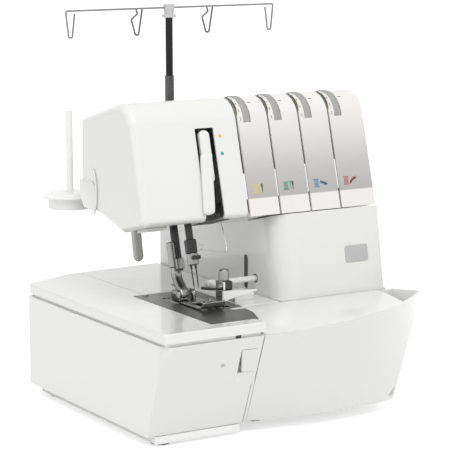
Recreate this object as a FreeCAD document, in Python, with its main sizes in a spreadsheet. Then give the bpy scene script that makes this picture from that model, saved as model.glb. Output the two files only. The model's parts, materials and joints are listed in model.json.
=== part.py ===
import FreeCAD, Part
import math
import os
import re

import Sketcher
from FreeCAD import Placement, Rotation, Vector

# A four-thread household overlocker. Millimetres, +Z up, origin on the ground below
# the middle of the machine, front towards -Y, free arm and slide-on table towards -X.
# The sizes are drawn from a point near the mast, and middle_x and middle_y lead from it to the origin.

doc = FreeCAD.newDocument("overlocker")
sheet = doc.addObject("Spreadsheet::Sheet", "dims")

SIZES = {
    # middle of the machine's plan
    "middle_x": -7.5, "middle_y": -5.6,
    # levels above the ground
    "foot_high": 3, "plinth_top": 10, "wall_top": 98.5, "rim_low": 102, "table_top": 111,
    # shared thicknesses and clearances
    "skin_thick": 2.5, "seam_gap": 0.4, "run_gap": 0.3, "bore_gap": 0.05,
    # slide-on table and bed, in plan
    "table_left": -160, "table_front": -153.5, "table_back": 123, "table_slant": 24,
    "bed_left": -91, "bed_back": 150, "plate_left": -103, "plate_front": -137,
    "plate_back": 11, "plate_right": -38, "front_seam": -56, "front_low": -118,
    "front_lean": 21.3, "neck_inset": 3.5, "corner_top": 4, "plate_thick": 2,
    # column
    "column_left": 3, "column_right": 123, "column_front": -86, "column_lean": 9,
    "column_back": 153.5, "column_round": 22, "deck_top": 184.5, "post_left": 40, "post_wide": 36,
    # tilted head
    "head_front": -72, "head_low": 192, "head_tilt": 15, "head_left": -135.5,
    "head_high": 117, "head_top_deep": 97, "head_deep": 116, "head_round": 25,
    "head_split": -23, "side_round": 8,
    # tension unit
    "slot_pitch": 34.2, "slot_wide": 2, "panel_top_deep": 46, "dial_wide": 13,
    "dial_proud": 0.6, "tension_shaft_r": 3, "disc_r": 11,
    # needle, presser foot and knives
    "needle_x": -75, "needle_deep": 26, "presser_deep": 54, "needle_bar_r": 3.5,
    "presser_bar_r": 4, "foot_wide": 18, "feed_low": 91, "knife_x": -53, "knife_shaft_y": -40,
    "knife_shaft_z": 126, "knife_shaft_r": 4,
    # drive
    "shaft_y": 30, "shaft_z": 62, "shaft_r": 5, "wheel_r": 34, "wheel_wide": 20,
    "motor_y": 105, "motor_z": 60, "motor_r": 30, "pulley_r": 30, "pinion_r": 9,
    "belt_x": 103, "belt_wide": 8, "belt_thick": 1.6,
    # looper cover and waste bin
    "cover_y": -104, "cover_left": -55.5, "cover_right": 107, "hinge_y": -97, "hinge_z": 19,
    "hinge_r": 2, "cover_slide": 8, "bin_low": 12, "bin_wall": 2.2, "bin_rim_left": 98.2,
    "bin_rim_right": 112.5, "bin_tip_x": 142, "bin_tip_y": -119, "bin_front_r": 205,
    "bin_low_r": 290,
    # spool stand and thread mast
    "stand_y": 112, "spool_pitch": 78, "spool_pin_r": 3.3, "spool_pin_high": 80,
    "spool_disc_r": 28, "stand_thick": 10, "mast_r": 4.7, "mast_top": 309,
    "mast_inner_r": 3.7, "mast_reach": 374, "mast_x": -4, "cap_seat": 3, "hook_inner": 40.5,
    "hook_outer": 114, "hook_drop": 26, "wire_r": 0.9,
    # height of the thread bar in the cap that sits on the mast
    "bar_z": "=mast_reach + cap_seat",
}

for row, (alias, value) in enumerate(SIZES.items(), start=1):
    sheet.set(f"A{row}", alias)
    sheet.set(f"B{row}", str(value))
    sheet.setAlias(f"B{row}", alias)
doc.recompute()

WORD = re.compile(r"[a-z_][a-z_0-9]*")
ACROSS = {
    "x": Rotation(Vector(0, 1, 0), 90),
    "y": Rotation(Vector(1, 0, 0), -90),
    "z": Rotation(),
}
nodes = []


def cell(text):
    """Turns 'table_top - 3' into an expression on the sheet's cells."""
    return WORD.sub(lambda w: "dims." + w.group() if w.group() in SIZES else w.group(), str(text))


def size(text):
    return float(sheet.evalExpression(cell(text)))


def bind(thing, **properties):
    for name, text in properties.items():
        thing.setExpression(name, cell(text))


def place(thing, at, turn=None):
    if turn is not None:
        thing.Placement = Placement(Vector(), turn)
    for axis, text in zip("xyz", at):
        thing.setExpression(f"Placement.Base.{axis}", cell(text))
    return thing


def node(label, thing):
    """Names a finished piece and seats it in the frame whose origin is under the machine's middle."""
    piece = group(thing)
    piece.Label = label
    nodes.append(place(piece, ("-middle_x", "-middle_y", "0")))


def box(at, length, width, height, turn=None):
    thing = doc.addObject("Part::Box", "block")
    bind(thing, Length=length, Width=width, Height=height)
    return place(thing, at, turn)


def span(x, y, z):
    """A block between two values on each axis."""
    return box((x[0], y[0], z[0]), *(f"({b}) - ({a})" for a, b in (x, y, z)))


def rod(at, axis, radius, length, turn=None):
    thing = doc.addObject("Part::Cylinder", "rod")
    bind(thing, Radius=radius, Height=length)
    return place(thing, at, turn or ACROSS[axis])


def cone(at, axis, radius_a, radius_b, length):
    thing = doc.addObject("Part::Cone", "cone")
    bind(thing, Radius1=radius_a, Radius2=radius_b, Height=length)
    return place(thing, at, ACROSS[axis])


def fuse(*things):
    joined = doc.addObject("Part::MultiFuse", "joined")
    joined.Shapes = list(things)
    joined.Refine = True
    return joined


def cut(base, *tools):
    result = doc.addObject("Part::Cut", "cut")
    result.Base = base
    result.Tool = tools[0] if len(tools) == 1 else fuse(*tools)
    result.Refine = True
    return result


def common(base, tool):
    result = doc.addObject("Part::Common", "common")
    result.Base = base
    result.Tool = tool
    return result


def group(*things):
    """Separate solids of the same kind that share one node."""
    made = doc.addObject("Part::Compound", "group")
    made.Links = list(things)
    return made


def tilted(thing):
    """Seats a thing drawn upright in the head's own axes onto the leaning head."""
    thing.Placement = Placement(Vector(), Rotation(Vector(-1, 0, 0), size("head_tilt")))
    bind(thing, **{"Placement.Rotation.Angle": "head_tilt", "Placement.Base.y": "head_front",
                   "Placement.Base.z": "head_low"})
    return thing


def ring(at, axis, outer, inner, length):
    return cut(rod(at, axis, outer, length), rod(at, axis, inner, length))


def arc_centre(a, b, radius):
    """Centre of the arc from a to b; a positive radius turns left."""
    middle = (a + b) * 0.5
    half = (b - a).Length / 2
    side = Vector(-(b - a).y, (b - a).x, 0).normalize()
    return middle + side * (math.copysign(1, radius) * math.sqrt(radius * radius - half * half))


def outline(body, plane, points, lift, inset=None):
    """A closed sketch through points; a third item is the radius of the arc to the next point.

    With inset, the points guide a smaller outline that keeps that distance inside them."""
    sketch = body.newObject("Sketcher::SketchObject", "outline")
    support = [item for item in body.Origin.OriginFeatures if item.Role == plane][0]
    sketch.AttachmentSupport = [(support, "")]
    sketch.MapMode = "FlatFace"
    sketch.setExpression("AttachmentOffset.Base.z", cell(lift))
    count = len(points)
    spots = [Vector(size(item[0]), size(item[1]), 0) for item in points]
    starts = []
    for i, item in enumerate(points):
        a, b = spots[i], spots[(i + 1) % count]
        if len(item) == 2:
            sketch.addGeometry(Part.LineSegment(a, b), inset is not None)
            starts.append((1, 2))
            continue
        radius = size(item[2])
        centre = arc_centre(a, b, radius)
        first, last = (a, b) if radius > 0 else (b, a)
        turn = [math.atan2((p - centre).y, (p - centre).x) for p in (first, last)]
        circle = Part.Circle(centre, Vector(0, 0, 1), abs(radius))
        sketch.addGeometry(Part.ArcOfCircle(circle, *turn), False)
        starts.append((1, 2) if radius > 0 else (2, 1))
    for i in range(count):
        after = (i + 1) % count
        sketch.addConstraint(Sketcher.Constraint("Coincident", i, starts[i][1], after, starts[after][0]))
    for i, item in enumerate(points):
        for kind, text, value in (("DistanceX", item[0], spots[i].x), ("DistanceY", item[1], spots[i].y)):
            at = sketch.addConstraint(Sketcher.Constraint(kind, -1, 1, i, starts[i][0], value))
            sketch.setExpression(f"Constraints[{at}]", cell(text))
        if len(item) == 3:
            at = sketch.addConstraint(Sketcher.Constraint("Radius", i, abs(size(item[2]))))
            sketch.setExpression(f"Constraints[{at}]", cell(f"abs({item[2]})"))
    if inset is not None:
        inset_lines(sketch, spots, inset)
    return sketch


def inset_lines(sketch, spots, inset):
    count = len(spots)
    depth = size(inset)
    area = sum(a.x * b.y - b.x * a.y for a, b in zip(spots, spots[1:] + spots[:1]))
    inward = math.copysign(1, area)
    ways = [(spots[(i + 1) % count] - spots[i]).normalize() for i in range(count)]
    sides = [Vector(-w.y, w.x, 0) * inward for w in ways]
    inner = []
    for i in range(count):
        bend = sides[i - 1] + sides[i]
        inner.append(spots[i] + bend * (2 * depth / bend.dot(bend)))
    for i in range(count):
        sketch.addGeometry(Part.LineSegment(inner[i], inner[(i + 1) % count]), False)
    for i in range(count):
        after = (i + 1) % count
        sketch.addConstraint(Sketcher.Constraint("Coincident", count + i, 2, count + after, 1))
    for i in range(count):
        sketch.addConstraint(Sketcher.Constraint("Parallel", i, count + i))
        at = sketch.addConstraint(Sketcher.Constraint("Distance", count + i, 1, i, depth))
        sketch.setExpression(f"Constraints[{at}]", cell(inset))


def prism(plane, points, start, length, inset=None):
    body = doc.addObject("PartDesign::Body", "prism")
    profile = outline(body, plane, points, start, inset)
    feature = body.newObject("PartDesign::Pad", "length")
    feature.Profile = profile
    feature.setExpression("Length", cell(length))
    return body


def side(points, x_low, x_high, inset=None):
    """A side view in Y and Z drawn out along X."""
    return prism("YZ_Plane", points, x_low, f"({x_high}) - ({x_low})", inset)


def plan(points, z_low, z_high, inset=None):
    """A plan in X and Y drawn up along Z."""
    return prism("XY_Plane", points, z_low, f"({z_high}) - ({z_low})", inset)


def soften(body, radius, least=0, **where):
    """Rounds the edges of a body whose ends all lie at, or between, the given coordinates."""
    doc.recompute()
    wanted = []
    for axis, text in where.items():
        low, high = text if isinstance(text, tuple) else (text, text)
        wanted.append((axis, size(low) - 1e-3, size(high) + 1e-3))
    base = body.Tip
    found = []
    for i, edge in enumerate(base.Shape.Edges, start=1):
        ends = [v.Point for v in edge.Vertexes]
        held = all(low <= getattr(end, axis) <= high for end in ends for axis, low, high in wanted)
        if held and edge.Length > least:
            found.append(f"Edge{i}")
    feature = body.newObject("PartDesign::Fillet", "round")
    feature.Base = (base, found)
    feature.setExpression("Radius", cell(radius))
    body.Tip = feature
    return body


def turned(points, at, axis="z"):
    """A turned piece: radius and height points, revolved about the axis."""
    body = doc.addObject("PartDesign::Body", "turned")
    profile = outline(body, "XZ_Plane", points, "0")
    feature = body.newObject("PartDesign::Revolution", "turn")
    feature.Profile = profile
    feature.ReferenceAxis = (profile, ["V_Axis"])
    feature.Angle = 360
    return place(body, at, ACROSS[axis])


def bent(points, radius):
    """A wire of straight runs joined by tangent arcs."""
    edges = []
    start = points[0]
    for before, corner, after in zip(points, points[1:], points[2:]):
        into = (corner - before).normalize()
        out = (after - corner).normalize()
        half = into.getAngle(out) / 2
        reach = radius * math.tan(half)
        middle = corner + (out - into).normalize() * (radius / math.cos(half) - radius)
        edges.append(Part.LineSegment(start, corner - into * reach).toShape())
        edges.append(Part.Arc(corner - into * reach, middle, corner + out * reach).toShape())
        start = corner + out * reach
    edges.append(Part.LineSegment(start, points[-1]).toShape())
    return Part.Wire(edges)


def wire_piece(points, bend, radius):
    """Round wire bent along a path."""
    spine = bent(points, bend)
    way = (points[1] - points[0]).normalize()
    section = Part.Wire([Part.Circle(points[0], way, radius).toShape()])
    thing = doc.addObject("Part::Feature", "wire")
    thing.Shape = spine.makePipeShell([section], True, False)
    thing.Placement = Placement()
    return thing


# base tray with its raised plinth, and the feet under it
tray_points = [
    ("table_left + 9", "front_low - 1"), ("front_seam - 7", "front_low - 1"),
    ("front_seam - 7", "cover_y + 16"), ("column_right - 3", "cover_y + 16"),
    ("column_right - 3", "column_back - 3"), ("bed_left + 3", "bed_back - 4"),
    ("table_left + 60", "table_back + 10"), ("table_left + 9", "table_back - 9"),
]
tray = plan(tray_points, "foot_high", "plinth_top")
HINGE_BRACKETS = ("cover_left + 20", "cover_left + 118")
hinge_blocks = []
hinge_bores = []
for left in HINGE_BRACKETS:
    hinge_blocks.append(span((left, f"{left} + 8"), ("hinge_y", "cover_y + 22"),
                             ("foot_high", "hinge_z + 4")))
    hinge_blocks.append(rod((left, "hinge_y", "hinge_z"), "x", "4", "8"))
    hinge_bores.append(rod((f"{left} - 1", "hinge_y", "hinge_z"), "x", "hinge_r + bore_gap", "10"))
node("base_tray", cut(fuse(tray, *hinge_blocks), *hinge_bores))

foot_spots = [("table_left + 22", "front_low + 14"), ("table_left + 22", "table_back - 24"),
              ("column_right - 18", "cover_y + 32"), ("column_right - 18", "column_back - 18")]
node("rubber_feet", group(*(rod((x, y, 0), "z", 9, "foot_high") for x, y in foot_spots)))

# slide-on table: a flat top with a rim, a shadow groove under it and walls with a leaning front
table_plan = [
    ("table_left", "table_front"), ("front_seam - seam_gap", "table_front"),
    ("front_seam - seam_gap", "table_back + table_slant"), ("plate_left", "table_back + table_slant"),
    ("table_left", "table_back"),
]
wall_side = [
    ("front_low", "plinth_top + seam_gap"), ("bed_back + 20", "plinth_top + seam_gap"),
    ("bed_back + 20", "wall_top"),
    ("front_low - (wall_top - plinth_top - seam_gap) * tan(front_lean)", "wall_top"),
]


def table_wall(inset, z_high, extra):
    block = plan(table_plan, "plinth_top - 5", z_high, inset)
    soften(block, "corner_top + 8 - " + extra, x=f"table_left + {inset}", y=f"table_front + {inset}")
    profile = side(wall_side, "table_left - 5", "front_seam + 5", None if extra == "0" else extra)
    return common(block, profile)


rim = plan(table_plan, "rim_low", "table_top")
soften(rim, "corner_top", x="table_left", y="table_front")
soften(rim, 10, x="table_left", y="table_back")
soften(rim, 1.6, z="table_top")
neck = plan(table_plan, "wall_top - 1", "rim_low + 1", "neck_inset")
walls = table_wall("0.6", "wall_top", "0")
hollow = table_wall("0.6 + skin_thick", "wall_top - skin_thick", "skin_thick")
neck_hollow = plan(table_plan, "wall_top - skin_thick - 3", "table_top - skin_thick - 1",
                   "neck_inset + skin_thick")
open_low = span(("table_left + 3.1", "front_seam + 5"), ("front_low + 4", "table_back - 4"),
                ("plinth_top - 5", "plinth_top + 5"))
open_end = span(("front_seam - 4", "front_seam + 4"), ("table_front + 20", "bed_back + 30"),
                ("plinth_top - 5", "table_top + 5"))
plate_room = span(("plate_left - seam_gap", "front_seam + 5"),
                  ("plate_front - seam_gap", "plate_back + seam_gap"), ("wall_top - 6", "table_top + 5"))
bed_room = span(("bed_left - seam_gap", "front_seam + 5"), ("plate_back", "bed_back + 30"),
                ("plinth_top - 5", "table_top + 5"))
thumb_back = "front_low - 42 * tan(front_lean)"
thumb_cup = common(table_wall("0.6", "wall_top", "0"),
                   span(("front_seam - 25", "front_seam - 3.4"),
                        ("table_front", f"{thumb_back} + skin_thick"), (61, 89)))
thumb = span(("front_seam - 22", "front_seam - 6"), ("table_front - 5", thumb_back), (63.5, 86.5))
shell = cut(fuse(rim, neck, walls), hollow, neck_hollow, open_low, open_end, plate_room, bed_room)
node("slide_on_table", cut(fuse(shell, thumb_cup), thumb))

# fixed bed beside the column
bed_points = [
    ("bed_left", "table_back + table_slant"), ("column_left - seam_gap", "bed_back + 3"),
    ("column_left - seam_gap", "column_front + 3"), ("plate_right + seam_gap", "column_front + 3"),
    ("plate_right + seam_gap", "plate_back + seam_gap"), ("bed_left", "plate_back + seam_gap"),
]
bed = plan(bed_points, "plinth_top + seam_gap", "table_top")
soften(bed, 1.2, z="table_top")
bed_hollow = plan(bed_points, "plinth_top - 5", "table_top - 3.5", "skin_thick")
bed_open = span(("bed_left + skin_thick", "column_left + 5"), ("column_front - 5", "bed_back - 8"),
                ("plinth_top - 5", "table_top - 8"))
node("bed_cover", cut(bed, bed_hollow, bed_open))

# needle plate with feed slots, needle hole and room for the knives
plate_points = [
    ("plate_left", "plate_front + 8"), ("plate_left + 6", "plate_front"), ("front_seam + 2", "plate_front"),
    ("plate_right - 5", "plate_front + 27"), ("plate_right", "plate_front + 84"),
    ("plate_right", "plate_back"), ("plate_left + 6", "plate_back"), ("plate_left", "plate_back - 8"),
]
FEED_LINES = (-9, -3.5, 5)
plate = plan(plate_points, "table_top - plate_thick", "table_top")
feed_slots = [span((f"needle_x + {line} - 0.6", f"needle_x + {line} + 3.6"), (-61, -13),
                   ("table_top - 9", "table_top + 5")) for line in FEED_LINES]
needle_hole = span(("needle_x - 5", "needle_x + 5"), (-70, -64.5), ("table_top - 9", "table_top + 5"))
screw_spots = [("plate_left + 12", "plate_back - 4"), ("plate_right - 14", "plate_back - 4")]
screw_holes = [rod((x, y, "table_top - 10"), "z", 1.4, 20) for x, y in screw_spots]
knife_room = span(("knife_x - 3", "knife_x + 4"), (-80, -58), ("table_top - 9", "table_top + 5"))
node("needle_plate", cut(plate, *feed_slots, needle_hole, knife_room, *screw_holes))

# cast frame: ground plate, plate support, looper and feed brackets, shaft walls and arm post
arm_low = "head_low - {u} * sin(head_tilt) + 35 * cos(head_tilt)"
arm_back = "head_front + {u} * cos(head_tilt) + 35 * sin(head_tilt)"
post_points = [
    (arm_back.format(u=50), "plinth_top + 6"), (arm_back.format(u=80), "plinth_top + 6"),
    (arm_back.format(u=80), arm_low.format(u=80)), (arm_back.format(u=50), arm_low.format(u=50)),
]
support_points = [("plate_left + seam_gap", "plate_front + 1"), ("front_seam + 1.5", "plate_front + 1"),
                  ("plate_right - 4", "plate_front + 30"), ("plate_right - seam_gap", "plate_front + 84"),
                  ("plate_right - seam_gap", "plate_back"), ("plate_left + seam_gap", "plate_back")]
support = cut(plan(support_points, "table_top - 10", "table_top - plate_thick"),
              plan(support_points, "table_top - 12", "table_top", "6"))
ground = ("plinth_top", "plinth_top + 7")
wall_rise = ("plinth_top + 6", "table_top - 4")
frame_walls = [
    span(("plate_left + 1", "column_right - 12"), (-54, "plate_back - 1"), ground),
    span(("bed_left + skin_thick + 1", "column_right - 12"), ("plate_back - 3", "column_back - 17"), ground),
    span(("plate_left + seam_gap", "plate_left + 6"), (-50, "plate_back"), wall_rise),
    span(("plate_right - 6", "plate_right - seam_gap"), (-50, "plate_back"), wall_rise),
    span(("needle_x - 12", "needle_x + 29"), (-54, -44), ("plinth_top", 64)),
    span(("needle_x - 8", "needle_x + 6"), (-12, 2), ("plinth_top + 6", "feed_low - run_gap")),
    span((-30, -23), (-10, "shaft_y + 14"), ("plinth_top + 6", "shaft_z + 14")),
    span((84, 91), (-10, "motor_y + 34"), ("plinth_top + 6", "shaft_z + 40")),
    span((8, 16), ("knife_shaft_y - 9", "knife_shaft_y + 9"), ("plinth_top + 6", "knife_shaft_z + 8")),
    span(("knife_x + 0.5 + 2", "plate_right - 1"), (-74, -60), ("table_top - 13", "table_top - 3")),
    side(post_points, "post_left", "post_left + post_wide"),
]
frame_bores = [
    rod((-40, "shaft_y", "shaft_z"), "x", 9, 200),
    rod(("needle_x", -70, 38), "y", "3.5 + bore_gap", 40),
    rod(("needle_x + 16", -70, 52), "y", "3.5 + bore_gap", 40),
    rod((0, "knife_shaft_y", "knife_shaft_z"), "x", "knife_shaft_r + bore_gap", 40),
    rod((70, "motor_y", "motor_z"), "x", 8, 40),
    *(rod((x, y, "table_top - 12"), "z", 1.4, 20) for x, y in screw_spots),
]
node("base_frame", cut(fuse(support, *frame_walls), *frame_bores))

# column casing under the tension unit, with the throat wall on its left
column_points = [
    ("column_front", "table_top + 1"),
    ("column_front + (head_low - table_top - 1.5) * tan(column_lean)", "head_low - 0.5"),
    ("head_front + 44.4", "head_low - 12.5"), ("head_front + 95", "head_low - 1.8"),
    ("head_front + 105", "deck_top"), ("column_back", "deck_top"), ("column_back", "table_top + 1"),
]
lower_points = [("column_front", "plinth_top + seam_gap"), ("column_front", "table_top + 1"),
                ("column_back", "table_top + 1"), ("column_back", "plinth_top + seam_gap")]


def column_block(points, inset, round_front):
    """One storey of the column casing with its upright corners rounded."""
    less = inset or "0"
    block = side(points, f"column_left + {less}", f"column_right - {less}", inset)
    for x in (f"column_left + {less}", f"column_right - {less}"):
        soften(block, f"8 - {less}", x=x, y=f"column_back - {less}")
    if round_front:
        soften(block, f"column_round - {less}", least=40, x=f"column_left + {less}",
               y=("column_front - 1", "column_front + 25"))
        soften(block, f"5 - {less}", least=40, x=f"column_right - {less}",
               y=("column_front - 1", "column_front + 25"))
    return block


column = fuse(column_block(column_points, None, True), column_block(lower_points, None, False))
column_hollow = fuse(column_block(column_points, "skin_thick", True),
                     column_block(lower_points, "skin_thick", False),
                     span(("column_left + skin_thick", "column_right - skin_thick"),
                          ("column_front + column_round", "column_back - 10"),
                          ("table_top - 6", "table_top + 8")))
node("column_cover", cut(
    column, column_hollow,
    span(("post_left - 4", "post_left + post_wide + 4"), (-22, 24), ("head_low - 20", "head_low + 30")),
    span(("column_left - 5", "column_left + 5"), ("column_front + 8", "column_back - 15"),
         ("plinth_top - 5", "table_top - 5")),
    span(("column_left + skin_thick", "column_right - skin_thick"), ("column_front + 8", "column_back - 8"),
         ("plinth_top - 5", "plinth_top + 8")),
    span(("column_left + 8", "column_right - 8"), ("column_back - 6", "column_back + 5"),
         ("plinth_top + 12", "deck_top - 14")),
    span(("column_left - 5", "column_right - 20"), ("column_front - 5", "column_front + 10"),
         ("plinth_top - 5", "table_top - 5")),
    rod(("column_left - 5", "knife_shaft_y", "knife_shaft_z"), "x", "knife_shaft_r + run_gap", 20),
    rod(("column_right - 10", "shaft_y", "shaft_z"), "x", "shaft_r + 1.5", 20),
    span(("column_right - 5", "column_right + 5"), (92, 118), (26, 46)),
    span(("column_left - 5", "column_left + 5"), ("column_front + 61", "column_front + 65"), (114, 146)),
    rod(("column_right - 5", 100, 132), "x", "3 + bore_gap", 20),
    rod(("column_right - 5", 100, 96), "x", "3 + bore_gap", 20),
    span(("column_right - 5", "column_right + 5"), (130, 142), (28, 48)),
))

rear = plan([("column_left + 8 + seam_gap", "column_back - skin_thick"),
             ("column_right - 8 - seam_gap", "column_back - skin_thick"),
             ("column_right - 8 - seam_gap", "column_back"), ("column_left + 8 + seam_gap", "column_back")],
            "plinth_top + 12 + seam_gap", "deck_top - 14 - seam_gap")
lip_depth = ("column_back - skin_thick - 2.4", "column_back - skin_thick")
rear_lips = [span((x, f"({x}) + 16"), lip_depth, (z, f"({z}) + 7"))
             for x in ("column_left + 18", "column_right - 34")
             for z in ("plinth_top + 8.5", "deck_top - 17.5")]
node("rear_cover", fuse(rear, *rear_lips))

# leaning head, drawn upright in its own axes: depth from its front, height from its lower edge
head_points = [
    (0, 0), (46, 0), (93, 24), ("head_deep", 58), ("head_top_deep", "head_high"), (0, "head_high"),
]


def head_block(x_low, x_high, inset, ends):
    """The head's cross-section over a width, rounded along its length and at the given ends."""
    less = inset or "0"
    block = side(head_points, x_low, x_high, inset)
    low, high = f"0 + {less}", f"head_high - {less}"
    soften(block, f"head_round - {less}", y=low, z=high)
    soften(block, f"6 - {less} / 2", y=low, z=low)
    for end in ends:
        soften(block, f"side_round - {less}", x=end)
    return block


head = cut(
    head_block("head_left", "head_split - seam_gap", None, ["head_left"]),
    head_block("head_left + skin_thick", "head_split + 5", "skin_thick", ["head_left + skin_thick"]),
    span(("needle_x - 20", "needle_x + 16"), (14, 68), (-5, 26)),
    span(("needle_x - 27", "needle_x - 9"), (70, 130), (5, 62)),
    span(("needle_x + 6.4", "needle_x + 26"), (-5, 5), (-5, 86)),
    span(("needle_x + 6.4", "needle_x + 26"), (-5, 30), (-5, 10)),
)
node("head_cover", tilted(head))

arm = cut(
    head_block("head_split + seam_gap", "column_right", None, ["column_right"]),
    head_block("head_split - 5", "column_right - skin_thick", "skin_thick", ["column_right - skin_thick"]),
    span(("head_split - 5", "column_right - 3"), (-5, "3.4"), (-5, "head_high + 5")),
    span(("head_split - 5", "column_right - 3"), (-5, "panel_top_deep + seam_gap"),
         ("head_high - 26", "head_high + 5")),
    span(("post_left - 4", "post_left + post_wide + 4"), (44, 92), (-5, 40)),
)
node("arm_cover", tilted(arm))

# four front panels of the tension unit with thread slots between them and a dial window in each
SLOTS = [f"head_split + {i} * slot_pitch" for i in range(4)]
PANEL_ENDS = [f"head_split + {i} * slot_pitch" for i in range(1, 4)] + ["column_right - 3"]
dial_y, dial_z = "head_round", "head_high - head_round"
panel_points = [
    (0, 0), (0, "head_high - head_round", "-head_round"), ("head_round", "head_high"),
    ("panel_top_deep", "head_high"), ("panel_top_deep", "head_high - skin_thick"),
    ("head_round", "head_high - skin_thick", "head_round - skin_thick"),
    ("skin_thick", "head_high - head_round"), ("skin_thick", 0),
]
panels = []
for left, right in zip(SLOTS, PANEL_ENDS):
    whole = side(panel_points, f"{left} + slot_wide / 2", f"{right} - slot_wide / 2")
    window = span((f"{left} - 2", f"{left} + slot_wide / 2 + dial_wide + 1.2"),
                  (-5, "head_round + 12.6"), ("head_high - head_round - 12.6", "head_high + 5"))
    panels.append(cut(whole, window))
node("tension_panels", tilted(group(*panels)))

# cast arm in the head: guides for the bars, dial plates and the beam to the post
arm_walls = [
    span(("needle_x + 15", "column_right - 8"), (50, 80), (35, 65)),
    span(("needle_x - 10", "needle_x + 15"), (18, 80), (26, 38)),
    span(("needle_x - 10", "needle_x + 15"), (18, 80), (78, 90)),
    span(("needle_x + 9", "needle_x + 15"), (18, 80), (26, 90)),
    span(("needle_x - 11.6", "needle_x + 15"), (70, 94), (32, 46)),
    span(("head_split - 6", "head_split"), (12, 60), (20, 92)),
    span(("column_right - 14", "column_right - 8"), (12, 60), (20, 92)),
]
arm_bores = [
    rod(("needle_x", "needle_deep", -10), "z", "needle_bar_r + bore_gap", 130),
    rod(("needle_x", "presser_deep", -10), "z", "presser_bar_r + bore_gap", 130),
    rod(("head_split - 20", "head_round", dial_z), "x", "tension_shaft_r", 200),
    rod(("head_split - 20", 20, 48), "x", "tension_shaft_r", 200),
    rod(("needle_x - 20", 90, 38), "x", "3 + bore_gap", 50),
    rod(("needle_x - 20", 38, 58), "x", "3 + bore_gap", 50),
]
node("arm_frame", tilted(cut(fuse(*arm_walls), *arm_bores)))

shaft_ends = ("head_split - 6", "column_right - 8 - (head_split - 6)")
node("tension_shafts", tilted(group(*(rod((shaft_ends[0], y, z), "x", "tension_shaft_r", shaft_ends[1])
                                      for y, z in (("head_round", dial_z), (20, 48))))))
discs = []
for left in SLOTS:
    for start in (f"{left} - 2.2", f"{left} + 0.8"):
        x = f"{start} + 2.4" if left == SLOTS[0] else start
        discs.append(ring((x, 20, 48), "x", "disc_r", "tension_shaft_r + bore_gap", 1.2))
node("tension_discs", tilted(group(*discs)))

for i, left in enumerate(SLOTS, start=1):
    profile = [
        ("tension_shaft_r + bore_gap", 0), ("head_round - 0.2", 0), ("head_round - 0.2", "dial_wide * 0.45"),
        ("head_round + dial_proud", "dial_wide * 0.5"), ("head_round + dial_proud", "dial_wide"),
        ("tension_shaft_r + bore_gap", "dial_wide"),
    ]
    dial = turned(profile, (f"{left} + slot_wide / 2 + 0.6", "head_round", dial_z), "x")
    node(f"tension_dial_{i}", tilted(group(dial)))

# take-up lever in the slot of the head
lever_points = [(8, 6), (2, 4), (-2.5, 12), (-2.5, 68), (2.5, 77), (8, 77)]
lever = fuse(side(lever_points, "needle_x + 10.5", "needle_x + 20.5"),
             span(("needle_x + 15.4", "needle_x + 20"), (30, 46), (50, 66)),
             span(("needle_x + 15.4", "needle_x + 20"), (4, 38), (54, 62)),
             rod(("needle_x + 9", 38, 58), "x", 3, 10))
node("take_up_lever", tilted(lever))

# needle bar, clamp, needles and clamp screws
node("needle_bar", tilted(group(rod(("needle_x", "needle_deep", -20), "z", "needle_bar_r", 124))))
clamp_low, clamp_high = -38, -20
clamp = span(("needle_x - 7", "needle_x + 7"), ("needle_deep - 6", "needle_deep + 5"),
             (clamp_low, clamp_high))
needle_lines = ("needle_x - 2.4", "needle_x + 2.4")
clamp_bores = [rod((x, "needle_deep", clamp_low - 1), "z", 1, 13) for x in needle_lines]
clamp_bores += [rod((x, "needle_deep - 7", clamp_low + 7), "y", 1.25, 5) for x in needle_lines]
node("needle_clamp", tilted(cut(clamp, *clamp_bores)))
needles = []
for x in needle_lines:
    needles.append(fuse(rod((x, "needle_deep", clamp_low - 3), "z", 1, 15),
                        rod((x, "needle_deep", -55), "z", 0.6, 16),
                        cone((x, "needle_deep", -60), "z", 0.15, 0.6, 5)))
node("needles", tilted(group(*needles)))
node("clamp_screws", tilted(group(*(fuse(rod((x, "needle_deep - 7", clamp_low + 7), "y", 1.25, 5),
                                         rod((x, "needle_deep - 8.5", clamp_low + 7), "y", 2.1, 2.5))
                                    for x in needle_lines))))

# presser bar, ankle and foot
bar_foot = "head_low - presser_deep * sin(head_tilt) - 40 * cos(head_tilt)"
bar_foot_y = "head_front + presser_deep * cos(head_tilt) - 40 * sin(head_tilt)"
node("presser_bar", tilted(group(rod(("needle_x", "presser_deep", -40), "z", "presser_bar_r", 142))))
ankle_points = [("-42", "table_top + 5"), ("-34", "table_top + 5"),
                (f"{bar_foot_y} + 6", f"{bar_foot} + 9"), (f"{bar_foot_y} - 7", f"{bar_foot} + 9"),
                ("-46", "table_top + 12")]
ankle = cut(side(ankle_points, "needle_x - 5.4", "needle_x + 5.4"),
            rod(("needle_x", bar_foot_y, bar_foot), "z", "presser_bar_r", 60,
                Rotation(Vector(-1, 0, 0), size("head_tilt"))),
            rod(("needle_x - 10", -38.5, "table_top + 9"), "x", "1.5 + bore_gap", 20))
node("foot_ankle", ankle)
sole_points = [("-89", "table_top + 7"), ("-83", "table_top + run_gap"), ("-18", "table_top + run_gap"),
               ("-15", "table_top + 2.5"), ("-80", "table_top + 2.9"), ("-87", "table_top + 8")]
sole = side(sole_points, "needle_x - foot_wide / 2", "needle_x + foot_wide / 2")
ear_points = [(-46, "table_top + 2"), (-30, "table_top + 2"),
              (-34, "table_top + 12"), (-43, "table_top + 12")]
ears = [side(ear_points, f"needle_x + {x}", f"needle_x + {x} + 2") for x in (-7.8, 5.8)]
foot_pin = rod(("needle_x - 7.8", -38.5, "table_top + 9"), "x", 1.5, 15.6)
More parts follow.
